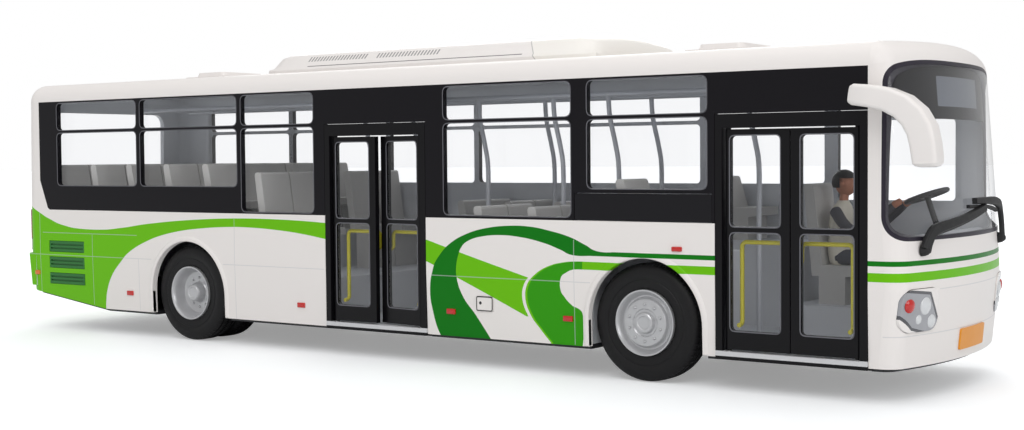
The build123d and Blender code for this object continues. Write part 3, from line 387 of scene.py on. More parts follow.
materials = {
    "body_paint": body_paint(),
    "base_black": plain("base_black", rgb(34, 34, 38), 0.5),
    "interior_grey": plain("interior_grey", rgb(208, 210, 214), 0.55),
    "seat_grey": plain("seat_grey", rgb(192, 190, 187), 0.55),
    "figure": figure(),
    "rail_silver": plain("rail_silver", rgb(196, 198, 204), 0.35, metallic=0.2),
    "rail_yellow": plain("rail_yellow", rgb(188, 178, 20), 0.35),
    "clear": clear_plastic("clear", (0.99, 0.992, 0.996, 1)),
    "display": display(),
    "door_black": door_black(),
    "white_plastic": plain("white_plastic", OFF_WHITE, 0.35, tint=0.02),
    "lamp": headlamp(),
    "lamp_red": tail_lamp(),
    "plate_orange": plain("plate_orange", rgb(232, 150, 30), 0.4),
    "grille_green": plain("grille_green", rgb(32, 112, 42), 0.5),
    "tyre": plain("tyre", rgb(32, 32, 34), 0.55, grain=4000.0),
    "rim": plain("rim", rgb(196, 196, 198), 0.32, metallic=0.55),
    "steel": plain("steel", rgb(160, 160, 162), 0.35, metallic=1.0),
}


def dress(name, material):
    mesh = nodes[name].data
    mesh.materials.clear()
    mesh.materials.append(material)


for entry in frame["record"]["subparts"]:
    dress(entry["node"], materials[entry["material_slot"]])
for name in ("glazing_right", "glazing_left"):
    dress(name, materials["clear"])
dress("rear_bumper", materials["body_paint"])


def piece(name, bm, material, body, smooth=True, replaced=()):
    """Mesh piece that rides on a body; replaced names the nodes it stands for."""
    bmesh.ops.recalc_face_normals(bm, faces=bm.faces)
    mesh = bpy.data.meshes.new(name)
    bm.to_mesh(mesh)
    bm.free()
    for each in material if isinstance(material, list) else [material]:
        mesh.materials.append(each)
    if smooth:
        mesh.shade_smooth()
        mesh.set_sharp_from_angle(angle=math.radians(32))
    obj = bpy.data.objects.new(name, mesh)
    bpy.context.collection.objects.link(obj)
    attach(obj, body)
    if replaced:
        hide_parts(*replaced)
    return obj


def lathe(bm, x, z, profile, steps=96):
    """Closed ring turned about an axle along Y; the profile gives (y, radius)."""
    rings = []
    for step in range(steps):
        angle = 2 * math.pi * step / steps
        rings.append([bm.verts.new(Vector((x + r * math.cos(angle), y, z + r * math.sin(angle))) * MM)
                      for y, r in profile])
    for ring, after in zip(rings, rings[1:] + rings[:1]):
        for i in range(len(ring)):
            j = (i + 1) % len(ring)
            bm.faces.new((ring[i], ring[j], after[j], after[i]))


def dome(bm, centre, normal, radius, height, steps=28, rings=4):
    """Shallow round lens on a surface: centre in mm, normal out of the surface."""
    turn = normal.to_track_quat("Z", "Y").to_matrix()
    loops = []
    for ring in range(rings):
        tilt = math.pi / 2 * ring / rings
        r, h = radius * math.cos(tilt), height * math.sin(tilt)
        loops.append([bm.verts.new((centre + turn @ Vector((r * math.cos(a), r * math.sin(a), h))) * MM)
                      for a in (2 * math.pi * k / steps for k in range(steps))])
    tip = bm.verts.new((centre + turn @ Vector((0, 0, height))) * MM)
    for low, high in zip(loops, loops[1:]):
        for k in range(steps):
            n = (k + 1) % steps
            bm.faces.new((low[k], low[n], high[n], high[k]))
    for k in range(steps):
        bm.faces.new((loops[-1][k], loops[-1][(k + 1) % steps], tip))
    bm.faces.new(loops[0][::-1])


def chip(bm, centre, size, bevel):
    """Small block with rounded edges, in mm."""
    made = bmesh.ops.create_cube(bm, size=1.0)
    verts = made["verts"]
    for vert in verts:
        vert.co = Vector([c + p * s for c, p, s in zip(centre, vert.co, size)]) * MM
    edges = list({edge for vert in verts for edge in vert.link_edges})
    bmesh.ops.bevel(bm, geom=edges, offset=bevel * MM, segments=2, affect="EDGES", profile=0.5)


def lean(z):
    """How far the sides lean in below the waist, as in part.py."""
    return 0.4 * max(0.0, min(1.0, (21.0 - z) / (21.0 - 6.6)))


# Tyres: rounded shoulders, a stepped sidewall and a grooved tread, in the CAD tyres' form
HALF_TYRE = [(0.455, 6.92), (0.475, 7.5), (0.487, 8.3), (0.49, 8.7), (0.476, 8.85), (0.478, 9.15),
             (0.495, 9.35), (0.5, 10.0), (0.493, 10.6), (0.472, 11.15), (0.437, 11.6), (0.393, 11.92),
             (0.345, 12.08), (0.29, 12.15), (0.28, 11.8), (0.235, 11.8), (0.225, 12.18),
             (0.07, 12.2), (0.06, 11.85), (0.0, 11.85)]


def tyre_paint():
    """Black rubber: soft moulding grain, and cross cuts round the tread."""
    s = Shader("tyre_rubber", specular=0.3)
    x, y, z = s.mm()
    s.colour(s.mix(s.noise(700.0), rgb(19, 18, 20), rgb(13, 12, 14)))
    s.roughness(s.spread(s.noise(1800.0), 0.42, 0.6))
    near_front = s.over(x, 0.0)
    axle = s.math("ADD", s.math("MULTIPLY", near_front, FRONT_AXLE_X - REAR_AXLE_X), REAR_AXLE_X)
    dx, dz = s.math("SUBTRACT", x, axle), s.math("SUBTRACT", z, AXLE_Z)
    spin = s.math("ARCTAN2", dz, dx)
    radius = s.math("SQRT", s.math("ADD", s.math("MULTIPLY", dx, dx), s.math("MULTIPLY", dz, dz)))
    cuts = s.math("SINE", s.math("MULTIPLY", spin, 54.0))
    tread = s.math("MULTIPLY", s.over(radius, 11.7), s.spread(cuts, 0.0, 1.0))
    s.bump(s.math("ADD", tread, s.math("MULTIPLY", s.noise(3500.0), 0.2)), 0.6, 0.00018)
    return s.material


rubber = tyre_paint()
for name, axle_x, outers, body in (("front_tyre_right", FRONT_AXLE_X, [-TYRE_Y], "front_wheel_right"),
                                   ("front_tyre_left", FRONT_AXLE_X, [TYRE_Y], "front_wheel_left"),
                                   ("rear_tyres", REAR_AXLE_X, [-TYRE_Y, -TWIN_Y, TWIN_Y, TYRE_Y],
                                    "rear_wheels")):
    bm = bmesh.new()
    for outer in outers:
        middle = outer - math.copysign(TYRE_WIDTH / 2, outer)
        half = [(middle + part * TYRE_WIDTH, r) for part, r in HALF_TYRE]
        other = [(middle - part * TYRE_WIDTH, r) for part, r in HALF_TYRE[-2::-1]]
        lathe(bm, axle_x, AXLE_Z, half + other)
    piece(name + "_rubber", bm, rubber, body, replaced=(name,))


# Rims, each: profile of (distance out from the tyre's face, radius), radius and depth of its
# ring of nuts. The profiles are estimated, and the discs aren't where the CAD rims have them.
RIM_BACK = [(-4.6, 0.02), (-4.6, 5.5), (-6.8, 5.8), (-6.8, 6.8)]
RIM_LIP = [(0.3, 6.8), (0.34, 6.65), (0.3, 6.5), (-0.05, 6.25)]
RIMS = {"front": (RIM_LIP + [(-0.4, 6.05), (-0.85, 5.85), (-1.05, 5.6), (-1.05, 5.35),
                             (-0.85, 5.1), (-0.2, 4.9), (-0.05, 4.75), (0.0, 4.5),
                             (0.0, 2.95), (-0.2, 2.7), (-0.2, 2.3), (0.05, 2.15),
                             (0.45, 2.05), (0.6, 1.85), (0.62, 1.45), (0.45, 1.3),
                             (0.4, 1.0), (0.45, 0.02)],
                  3.8, 0.0),
        "rear": (RIM_LIP + [(-0.6, 6.05), (-1.4, 5.9), (-2.3, 5.65), (-2.9, 5.3), (-3.1, 4.9), (-3.1, 2.75),
                            (-2.9, 2.5), (-1.4, 2.25), (-0.9, 2.1), (-0.6, 1.85), (-0.5, 1.4), (-0.65, 1.2),
                            (-0.65, 0.02)], 3.75, -3.1)}
# The inner twin's barrel: (distance out from its own face, radius)
TWIN_BARREL = [(0.85, 6.8), (0.85, 5.8), (-6.8, 5.8), (-6.8, 6.8)]
NUTS = 10
STUD_INSET = 0.95
NUT_SIZE, STUD_SIZE = (0.36, 0.42), (0.15, 0.12)
for axle, axle_x, sides, body, node in (
        ("front", FRONT_AXLE_X, [-1], "front_wheel_right", "front_rim_right"),
        ("front", FRONT_AXLE_X, [1], "front_wheel_left", "front_rim_left"),
        ("rear", REAR_AXLE_X, [-1, 1], "rear_wheels", "rear_rims")):
    profile, nut_ring, nut_depth = RIMS[axle]
    bm = bmesh.new()
    for side in sides:
        lathe(bm, axle_x, AXLE_Z, [(side * (TYRE_Y + out), r) for out, r in profile + RIM_BACK])
        if axle == "rear":
            lathe(bm, axle_x, AXLE_Z, [(side * (TWIN_Y + out), r) for out, r in TWIN_BARREL])
        for k in range(NUTS):
            angle = 2 * math.pi * (k + 0.5) / NUTS
            for ring, (radius, height) in ((nut_ring, NUT_SIZE), (nut_ring - STUD_INSET, STUD_SIZE)):
                spot = Vector((axle_x + ring * math.cos(angle), side * (TYRE_Y + nut_depth),
                               AXLE_Z + ring * math.sin(angle)))
                dome(bm, spot, Vector((0, side, 0)), radius, height, steps=8, rings=3)
    piece(node + "_turned", bm, materials["rim"], body, replaced=(node,))

# Rolled lips of the wheel arches, raised a little from the sides
LIP = [(ARCH_RADIUS, -0.9), (ARCH_RADIUS, 0.1), (ARCH_RADIUS + 0.12, 0.24), (ARCH_RADIUS + 0.5, 0.3),
       (ARCH_RADIUS + 1.0, 0.2), (ARCH_RADIUS + 1.35, -0.05)]
bm = bmesh.new()
for side in (-1, 1):
    for arch_x in ARCHES:
        path = [(1, -4.9), (1, -2.5)] + [(math.cos(a), math.sin(a))
                                         for a in (math.pi * k / 40 for k in range(41))]
        path += [(-1, -2.5), (-1, -4.9)]
        rows = []
        for across, up in path:
            row = []
            for radius, proud in LIP:
                px = arch_x + radius * across
                pz = AXLE_Z + (radius * up if up >= 0 else up * 1.1)
                row.append(bm.verts.new(Vector((px, side * (SIDE_Y - lean(pz) + proud), pz)) * MM))
            rows.append(row)
        for row, after in zip(rows, rows[1:]):
            for k in range(len(LIP) - 1):
                bm.faces.new((row[k], row[k + 1], after[k + 1], after[k]))
piece("arch_lips", bm, materials["body_paint"], "body")

# Side reflectors and marker lamps, mirrored on both sides, and the flap's lock on the right side
red_lens = plain("red_lens", rgb(196, 18, 10), 0.2, coat=0.6)
orange_lens = plain("orange_lens", rgb(222, 112, 20), 0.2, coat=0.6)
REFLECTORS = [(-87.1, 11.3), (-25.7, 11.2), (19.7, 12.1), (50.7, 12.2)]
bm = bmesh.new()
for side in (-1, 1):
    for x, z in REFLECTORS:
        chip(bm, (x, side * (SIDE_Y - lean(z) + 0.05), z), (2.4, 0.5, 1.2), 0.12)
    chip(bm, (76.85, side * (SIDE_Y + 0.1), 27.6), (2.3, 0.7, 1.0), 0.25)
piece("side_reflectors", bm, red_lens, "body")
bm = bmesh.new()
for side in (-1, 1):
    chip(bm, (-125.4, side * (SIDE_Y - lean(15.4) - 0.1), 15.4), (2.0, 0.8, 1.2), 0.15)
piece("rear_side_markers", bm, orange_lens, "body")
bm = bmesh.new()
dome(bm, Vector((27.9, -SIDE_Y, 14.4)), Vector((0, -1, 0)), 0.36, 0.12, steps=16, rings=2)
piece("flap_lock", bm, materials["base_black"], "body")

# Lamps inside the headlamps, each: how far out and up, radius, height; placed on the lens
lens = nodes["headlamps"].data
surface = BVHTree.FromPolygons([v.co for v in lens.vertices], [tuple(p.vertices) for p in lens.polygons])
clear_lens = plain("clear_lens", rgb(214, 216, 218), 0.12, coat=1.0)
INNER_LAMPS = {"red": [(26.6, 18.3, 1.35, 0.5)],
               "clear": [(21.8, 18.0, 1.75, 0.45), (19.4, 15.0, 1.35, 0.4), (23.6, 15.6, 0.95, 0.3)]}
for name, lamp_material in (("red", red_lens), ("clear", clear_lens)):
    bm = bmesh.new()
    for side in (-1, 1):
        for y, z, radius, height in INNER_LAMPS[name]:
            hit, normal, *_ = surface.ray_cast(Vector((160, side * y, z)) * MM, Vector((-1, 0, 0)))
            if hit:
                dome(bm, hit / MM - normal * 0.1, normal, radius, height + 0.1)
    piece("headlamp_" + name, bm, lamp_material, "body")

def sweep_rows(bm, rows, closed=False):
    """Quads between rows of equal length, given in mm; closed joins each row's ends."""
    made = [[bm.verts.new(Vector(point) * MM) for point in row] for row in rows]
    for row, after in zip(made, made[1:]):
        last = len(row) if closed else len(row) - 1
        for k in range(last):
            n = (k + 1) % len(row)
            bm.faces.new((row[k], row[n], after[n], after[k]))
    return made


def rounded(points, radius, steps=5):
    """Outline whose corners are turned into arcs of a radius, as far as the sides allow."""
    result = []
    count = len(points)
    for k, corner in enumerate(points):
        corner, before, after = Vector(corner), Vector(points[k - 1]), Vector(points[(k + 1) % count])
        to_before, to_after = (before - corner), (after - corner)
        reach = min(radius, to_before.length * 0.48, to_after.length * 0.48)
        start, end = corner + to_before.normalized() * reach, corner + to_after.normalized() * reach
        for step in range(steps + 1):
            t = step / steps
            result.append((1 - t) ** 2 * start + 2 * t * (1 - t) * corner + t ** 2 * end)
    return result


def smooth_line(points, per_span=6):
    """Points on a Catmull-Rom curve through the given ones."""
    points = [Vector(p) for p in points]
    padded = [2 * points[0] - points[1]] + points + [2 * points[-1] - points[-2]]
    result = []
    for a, b, c, d in zip(padded, padded[1:], padded[2:], padded[3:]):
        for step in range(per_span):
            t = step / per_span
            result.append(0.5 * (2 * b + (c - a) * t + (2 * a - 5 * b + 4 * c - d) * t * t
                                 + (3 * b - 3 * c + d - a) * t ** 3))
    return result + [points[-1]]


# Roof unit: cross-sections along its length in the solid's own form, edges rounded
UNIT_X, UNIT_LENGTH, UNIT_HALF, UNIT_TOP = -44.35, 96.5, 22.0, 73.5
# Stations: distance from the rear, height left over the roof, half width left
UNIT_STATIONS = [(0.0, 1.2, 0.90), (0.5, 2.3, 0.93), (1.3, 3.6, 0.96), (2.6, 4.9, 0.99), (5.0, 5.5, 1.0),
                 (12.0, 5.6, 1.0), (72.0, 5.6, 1.0), (86.0, 5.6, 1.0), (91.0, 5.5, 0.995),
                 (93.2, 5.0, 0.985), (94.9, 4.0, 0.96), (96.0, 2.6, 0.93), (96.5, 1.2, 0.90)]


def unit_section(x, height, part):
    half = UNIT_HALF * part
    top = ROOF_Z + height
    shoulder_z = ROOF_Z + 3.9 * height / 5.6
    left = [(half, ROOF_Z - 1.5), (half, ROOF_Z + 0.25), (half - 0.25, ROOF_Z + 0.55),
            (half - 1.2, ROOF_Z + 1.0 * height / 5.6), (half - 3.7, shoulder_z - 0.5),
            (half - 4.3, shoulder_z), (half - 5.3, shoulder_z + (top - shoulder_z) * 0.22),
            (half * 0.6, ROOF_Z + height * 0.86), (half * 0.3, ROOF_Z + height * 0.97), (0.0, top)]
    return [(x, y, z) for y, z in left] + [(x, -y, z) for y, z in left[-2::-1]]


def unit_plastic():
    """White cover with two groups of slots in each flank, painted grey as painted shade of their depth, a dark
    line of painted shade for the gap at its foot, and a cream cowl.
    """
    def zones(s, x, y, z):
        off = s.math("ABSOLUTE", y)
        groups = s.either(s.between(x, UNIT_X + 13.0, UNIT_X + 32.0),
                          s.between(x, UNIT_X + 34.5, UNIT_X + 53.5))
        # The slots are flat grey stripes: painted shade standing for the shade inside each slot.
        slots = s.over(s.math("SINE", s.math("MULTIPLY", x, 2 * math.pi / 0.95)), 0.1)
        cowl_edge = s.math("ADD", s.math("MULTIPLY", z, -0.9), UNIT_X + 80.0 + 0.9 * 70.0)
        cowl = s.over(x, cowl_edge)
        seam = s.under(s.math("ABSOLUTE", s.math("SUBTRACT", x, cowl_edge)), 0.14)
        # The foot is a dark grey line: painted shade of the gap between the cover and the roof.
        foot = s.every(s.between(z, 68.78, 68.98), s.between(x, UNIT_X + 14.0, UNIT_X + 78.0),
                       s.over(off, 17.0))
        return [(s.every(groups, slots, s.between(z, 70.1, 71.3), s.over(off, 16.0)), rgb(150, 148, 148)),
                (cowl, rgb(238, 234, 228)), (seam, rgb(190, 187, 184)), (foot, rgb(96, 92, 94))]
    return zoned("unit_plastic", 0.35, OFF_WHITE, zones)


bm = bmesh.new()
rows = sweep_rows(bm, [unit_section(UNIT_X + d, h, p) for d, h, p in UNIT_STATIONS])
for row in (rows[0], rows[-1]):
    bm.faces.new(row)
piece("roof_unit_cover", bm, unit_plastic(), "body", replaced=("roof_unit",))


def tube(bm, points, radii, steps=14, smooth=True):
    """Round bar along a smooth line; radii go with the given points."""
    spans = 6 if smooth else 1
    line = smooth_line(points, spans)
    sizes = [a + (b - a) * k / spans for a, b in zip(radii, radii[1:]) for k in range(spans)] + [radii[-1]]
    rows, side = [], None
    for k, (spot, radius) in enumerate(zip(line, sizes)):
        way = (line[min(k + 1, len(line) - 1)] - line[max(k - 1, 0)]).normalized()
        side = way.orthogonal().normalized() if side is None else (side - way * side.dot(way)).normalized()
        other = way.cross(side)
        ends = [0.0] if 0 < k < len(line) - 1 else ([-0.75, -0.4, 0.0] if k == 0 else [0.0, 0.4, 0.75])
        for end in ends:
            r = radius * math.sqrt(1 - end * end)
            rows.append([spot + way * radius * end * 0.6 + (side * math.cos(a) + other * math.sin(a)) * r
                         for a in (2 * math.pi * j / steps for j in range(steps))])
    made = sweep_rows(bm, rows, closed=True)
    bm.faces.new(made[0])
    bm.faces.new(made[-1])


def stack(bm, sections, steps=28):
    """Body of upright ovals: each centre x, centre y, z, half length, half width."""
    rows = [[(x + rx * math.cos(a), y + ry * math.sin(a), z)
             for a in (2 * math.pi * j / steps for j in range(steps))] for x, y, z, rx, ry in sections]
    made = sweep_rows(bm, rows, closed=True)
    bm.faces.new(made[0])
    bm.faces.new(made[-1])


def paint_from(bm, first, index):
    """Give a material to the faces made since the first of them."""
    bm.faces.ensure_lookup_table()
    for face in bm.faces[first:]:
        face.material_index = index
    return len(bm.faces)


# The driver, seated with both hands on the wheel
cloth = dict(grain=2600.0, depth=0.00006)
driver_finish = [plain("shirt", rgb(226, 220, 204), 0.7, **cloth),
                 plain("sleeves", rgb(70, 68, 74), 0.7, **cloth),
                 plain("trousers", rgb(52, 54, 66), 0.7, **cloth), plain("skin", rgb(196, 132, 104), 0.6),
                 plain("shoes", rgb(28, 26, 26), 0.45)]
bm = bmesh.new()
x, y, z = DRIVER
stack(bm, [(x - 1.0, y, 22.4, 1.9, 3.0), (x - 1.0, y, 23.2, 2.5, 3.5), (x - 1.1, y, 25.5, 2.6, 3.7),
           (x - 1.1, y, 28.5, 2.45, 3.5), (x - 0.9, y, 31.5, 2.5, 3.85), (x - 0.8, y, 33.6, 2.2, 4.0),
           (x - 0.7, y, 34.9, 1.75, 3.4), (x - 0.6, y, 35.7, 1.35, 2.2), (x - 0.5, y, 36.3, 1.15, 1.35)])
done = paint_from(bm, 0, 0)
for side in (-1, 1):
    tube(bm, [(x - 0.9, y + side * 3.5, 34.0), (x + 1.6, y + side * 4.5, 31.2), (x + 4.6, y + side * 4.9, 30.0),
              (x + 9.0, y + side * 4.1, 33.0), (x + 11.8, y + side * 3.3, 35.2)], [1.3, 1.2, 1.05, 0.9, 0.8])
done = paint_from(bm, done, 1)
for side in (-1, 1):
    tube(bm, [(x - 0.8, y + side * 1.9, 24.0), (x + 3.4, y + side * 2.2, 24.2), (x + 7.3, y + side * 2.4, 24.2),
              (x + 9.0, y + side * 2.4, 22.2), (x + 9.2, y + side * 2.4, 18.5), (x + 9.3, y + side * 2.4, 16.0)],
         [1.75, 1.6, 1.45, 1.3, 1.1, 1.0])
done = paint_from(bm, done, 2)
stack(bm, [(x - 0.5, y, 35.9, 1.0, 1.05), (x - 0.35, y, 37.0, 0.95, 1.0), (x - 0.2, y, 38.3, 1.1, 1.1)])
stack(bm, [(x + 0.1 * (1 - t * t), y, z + 2.75 * t, 2.42 * math.sqrt(1.001 - t * t) + 0.01,
            2.1 * math.sqrt(1.001 - t * t) * (1 - 0.12 * max(0, -t)) + 0.01)
           for t in (math.sin(math.pi * (k / 16 - 0.5)) for k in range(17))])
for side in (-1, 1):
    tube(bm, [(x + 12.2, y + side * 3.3, 35.6), (x + 13.4, y + side * 3.2, 36.3)], [0.8, 0.7], smooth=False)
done = paint_from(bm, done, 3)
for side in (-1, 1):
    tube(bm, [(x + 8.7, y + side * 2.4, 15.2), (x + 10.4, y + side * 2.4, 15.1), (x + 12.0, y + side * 2.4, 14.9)],
         [0.95, 0.95, 0.75])
paint_from(bm, done, 4)
piece("driver", bm, driver_finish, "body", replaced=("driver_figure",))

# Handrails: bent poles from the floor to two rails under the roof
POLES = [(-19.55, -9.5, 17.4), (15.85, -9.5, 7.8), (36.85, -9.5, 7.8), (51.45, -9.5, 7.8), (85.25, -9.5, 7.8),
         (-19.55, 9.5, 17.4), (21.85, 9.5, 7.8), (51.45, 9.5, 7.8)]
bm = bmesh.new()
for side in (-1, 1):
    tube(bm, [(-105.15, side * 9.5, 60.0), (85.45, side * 9.5, 60.0)], [0.6, 0.6], smooth=False)
for x, y, foot in POLES:
    tube(bm, [(x, y, foot), (x, y, 34.0), (x, y, 44.0),
              (x - 0.8, y, 49.0), (x - 2.2, y, 55.0), (x - 2.6, y, 60.0)],
         [0.55] * 6)
    dome(bm, Vector((x, y, foot)), Vector((0, 0, 1)), 1.0, 0.5, steps=16, rings=3)
for x in (-95.15, -17.55, 80.45):
    tube(bm, [(x, -9.5, 60.0), (x, 9.5, 60.0)], [0.45, 0.45], smooth=False)
piece("handrail_tubes", bm, materials["rail_silver"], "body", replaced=("handrails",))


def arm_section(spot, way, wide, deep, steps=6):
    """Rounded section across a way in the XZ plane, wide across it and deep along Y."""
    across = Vector((-way.z, 0, way.x))
    corners = [(-wide, -deep), (wide, -deep), (wide, deep), (-wide, deep)]
    return [spot + across * p.x + Vector((0, p.y, 0)) for p in rounded(corners, 0.9, steps)]


# Right mirror: a horn arm sweeping forward and down, with a rounded head
MIRROR_Y = -33.1
# Stations: x from the front, z, half width across, half depth
HORN = [(-12.6, 57.2, 1.0, 1.0), (-12.3, 57.15, 1.6, 1.9), (-11.6, 57.05, 1.95, 2.3), (-8.6, 56.7, 2.05, 2.4),
        (-5.4, 56.0, 2.15, 2.4), (-2.6, 54.7, 2.3, 2.4), (-0.5, 52.8, 2.4, 2.4), (0.9, 50.4, 2.45, 2.4),
        (1.5, 47.8, 2.4, 2.4), (1.8, 45.6, 2.35, 2.4), (1.85, 44.5, 2.25, 2.35), (1.85, 44.0, 1.9, 1.9),
        (1.85, 43.8, 1.2, 1.2)]
bm = bmesh.new()
rows = []
for k, (dx, z, wide, deep) in enumerate(HORN):
    before, after = HORN[max(k - 1, 0)], HORN[min(k + 1, len(HORN) - 1)]
    way = Vector((after[0] - before[0], 0, after[1] - before[1])).normalized()
    rows.append(arm_section(Vector((FRONT_X + dx, MIRROR_Y, z)), way, wide, deep))
made = sweep_rows(bm, rows, closed=True)
bm.faces.new(made[0])
bm.faces.new(made[-1])
tube(bm, [(FRONT_X - 9.2, -29.2, 56.6), (FRONT_X - 9.2, -30.2, 56.6), (FRONT_X - 9.2, -31.4, 56.6)],
     [1.5, 1.2, 1.4])
piece("mirror_right_horn", bm, materials["white_plastic"], "body",
      replaced=("mirror_right",))
bm = bmesh.new()
chip(bm, (FRONT_X - 12.0, SIDE_Y + 3.7, 49.5), (2.6, 5.0, 11.0), 1.0)
tube(bm, [(FRONT_X - 12.0, SIDE_Y - 0.1, 55.8), (FRONT_X - 12.0, SIDE_Y + 1.6, 56.4),
          (FRONT_X - 12.0, SIDE_Y + 3.2, 55.8), (FRONT_X - 12.0, SIDE_Y + 3.6, 54.2)], [1.2, 1.0, 1.0, 1.0])
piece("mirror_left_head", bm, materials["white_plastic"], "body", replaced=("mirror_left",))

# Light lines round the windows and the leaves' panes, each outlined in its own plane
frame_line = plain("frame_line", rgb(104, 104, 110), 0.35)
RIGHT_WINDOWS = [(-115.85, -83.65, 39.6), (-82.05, -46.65, 39.6), (-45.05, -21.05, 33.4),
                 (18.05, 51.65, 33.6), (55.75, 83.55, 39.6)]
LEFT_WINDOWS = [(-115.85, -83.65, 39.6), (-82.05, -46.65, 39.6), (-45.05, -16.05, 39.6), (-14.45, 16.45, 39.6),
                (18.05, 51.65, 39.6), (55.75, 83.55, 39.6), (86.85, 113.75, 36.0)]


def outline_ring(bm, x0, x1, z0, z1, corner, place, width=0.18, proud=0.06):
    """Thin raised line just outside a rounded rectangle; place(u, z, out) gives the spot."""
    inner = rounded([(x0, z0), (x1, z0), (x1, z1), (x0, z1)], corner, 4)
    outer = rounded([(x0 - width, z0 - width), (x1 + width, z0 - width), (x1 + width, z1 + width),
                     (x0 - width, z1 + width)], corner + width, 4)
    rows = [[place(p.x, p.y, 0), place(p.x, p.y, proud), place(q.x, q.y, proud), place(q.x, q.y, 0)]
            for p, q in zip(inner, outer)]
    sweep_rows(bm, rows + rows[:1])


bm = bmesh.new()
for side, windows in ((-1, RIGHT_WINDOWS), (1, LEFT_WINDOWS)):
    for x0, x1, sill in windows:
        for z0, z1 in ((sill, 53.8), (54.7, 61.9)):
            outline_ring(bm, x0, x1, z0, z1, 1.4, lambda u, z, out, side=side: (u, side * (SIDE_Y + out), z))
piece("window_lines", bm, frame_line, "body")
bm = bmesh.new()
outline_ring(bm, 27.0, 31.0, 12.85, 15.65, 0.3, lambda u, z, out: (u, -SIDE_Y - out, z), 0.2, 0.05)
piece("flap_line", bm, materials["base_black"], "body")
LEAVES = [("door_mid_rear", -17.55, 12.85, 1, 0), ("door_mid_front", -17.55, 12.85, -1, 8),
          ("door_front_rear", 85.25, 116.75, 1, 0), ("door_front_front", 85.25, 116.75, -1, 0)]
for name, start, end, direction, ajar in LEAVES:
    pivot_x = start + 2.5 if direction > 0 else end - 2.5
    turned = math.radians(direction * ajar)
    along = Vector((direction * math.cos(turned), direction * math.sin(turned), 0))
    inward = Vector((-math.sin(turned), math.cos(turned), 0))
    length = (end - start) / 2 - 1.6 - 0.375 - 0.65
    pivot = Vector((pivot_x, -27.95, 0))
    bm = bmesh.new()
    for z0, z1 in ((11.9, 31.05), (32.35, 50.0)):
        outline_ring(bm, 0.55, length - 2.0, z0, z1, 1.0,
                     lambda u, z, out: pivot + along * u - inward * (0.65 + out) + Vector((0, 0, z)),
                     0.22, 0.06)
    piece(name + "_lines", bm, frame_line, name)

# Wipers: heavy arms whose blades lie on the screen, placed on the nose's own surface
nose_verts, nose_faces = [], []
for name in ("windscreen", "body_shell"):
    start = len(nose_verts)
    nose_verts += [v.co.copy() for v in nodes[name].data.vertices]
    nose_faces += [tuple(start + i for i in p.vertices) for p in nodes[name].data.polygons]
nose_surface = BVHTree.FromPolygons(nose_verts, nose_faces)


# A ray starts ahead of the nose. One that ends further back than NOSE_BACK went down the gap
# round the windscreen, so it is moved up or down a little.
RAY_START = 160.0
NOSE_BACK = 115.0


def on_nose(y, z, out):
    """Spot at a distance outside the nose, seen from the front."""
    for aside in (0.0, 0.15, -0.15, 0.3, -0.3, 0.6, -0.6):
        hit, normal, *_ = nose_surface.ray_cast(Vector((RAY_START, y, z + aside)) * MM, Vector((-1, 0, 0)))
        if hit is not None and hit.x > NOSE_BACK * MM and normal.x > 0.3:
            break
    return Vector((hit.x / MM, y, z)) + normal * out


def nose_strip(bm, path, widths, low, high):
    """Bar of tapering width that follows the nose between two distances from it."""
    line = smooth_line([(y, z, 0) for y, z in path], 5)
    sizes = [a + (b - a) * k / 5 for a, b in zip(widths, widths[1:]) for k in range(5)] + [widths[-1]]
    rows = []
    for k, (spot, width) in enumerate(zip(line, sizes)):
        way = (line[min(k + 1, len(line) - 1)] - line[max(k - 1, 0)]).normalized()
        across = Vector((-way.y, way.x, 0)) * width / 2
        a, b = spot + across, spot - across
        soft_a, soft_b = spot + across * 0.7, spot - across * 0.7
        rim = high - 0.35
        rows.append([on_nose(a.x, a.y, low), on_nose(a.x, a.y, rim), on_nose(soft_a.x, soft_a.y, high),
                     on_nose(soft_b.x, soft_b.y, high), on_nose(b.x, b.y, rim), on_nose(b.x, b.y, low)])
    made = sweep_rows(bm, rows, closed=True)
    bm.faces.new(made[0])
    bm.faces.new(made[-1])


WIPERS = [([(-22.6, 28.4), (-21.8, 29.8), (-20.3, 31.4), (-17.8, 32.3), (-9.0, 33.5), (4.0, 35.6)],
           [2.6, 2.3, 2.2, 2.0, 1.6, 1.2], [(-19.0, 31.1), (-8.0, 32.7), (7.0, 35.0)]),
          ([(22.6, 28.6), (22.1, 31.0), (21.2, 33.6), (19.2, 35.6), (12.0, 36.6), (-2.0, 36.9)],
           [2.6, 2.3, 2.2, 2.0, 1.6, 1.2], [(19.6, 34.4), (9.0, 35.5), (-4.0, 35.9)])]
bm = bmesh.new()
for arm, widths, blade in WIPERS:
    nose_strip(bm, arm, widths, 0.5, 1.5)
    nose_strip(bm, blade, [0.7, 0.7, 0.7], 0.02, 0.7)
    dome(bm, on_nose(*arm[0], 0.0), Vector((1, 0, 0)), 1.15, 1.8, steps=20, rings=4)
piece("wiper_arms", bm, plain("wiper_black", rgb(20, 19, 21), 0.6), "body",
      replaced=("wipers",))

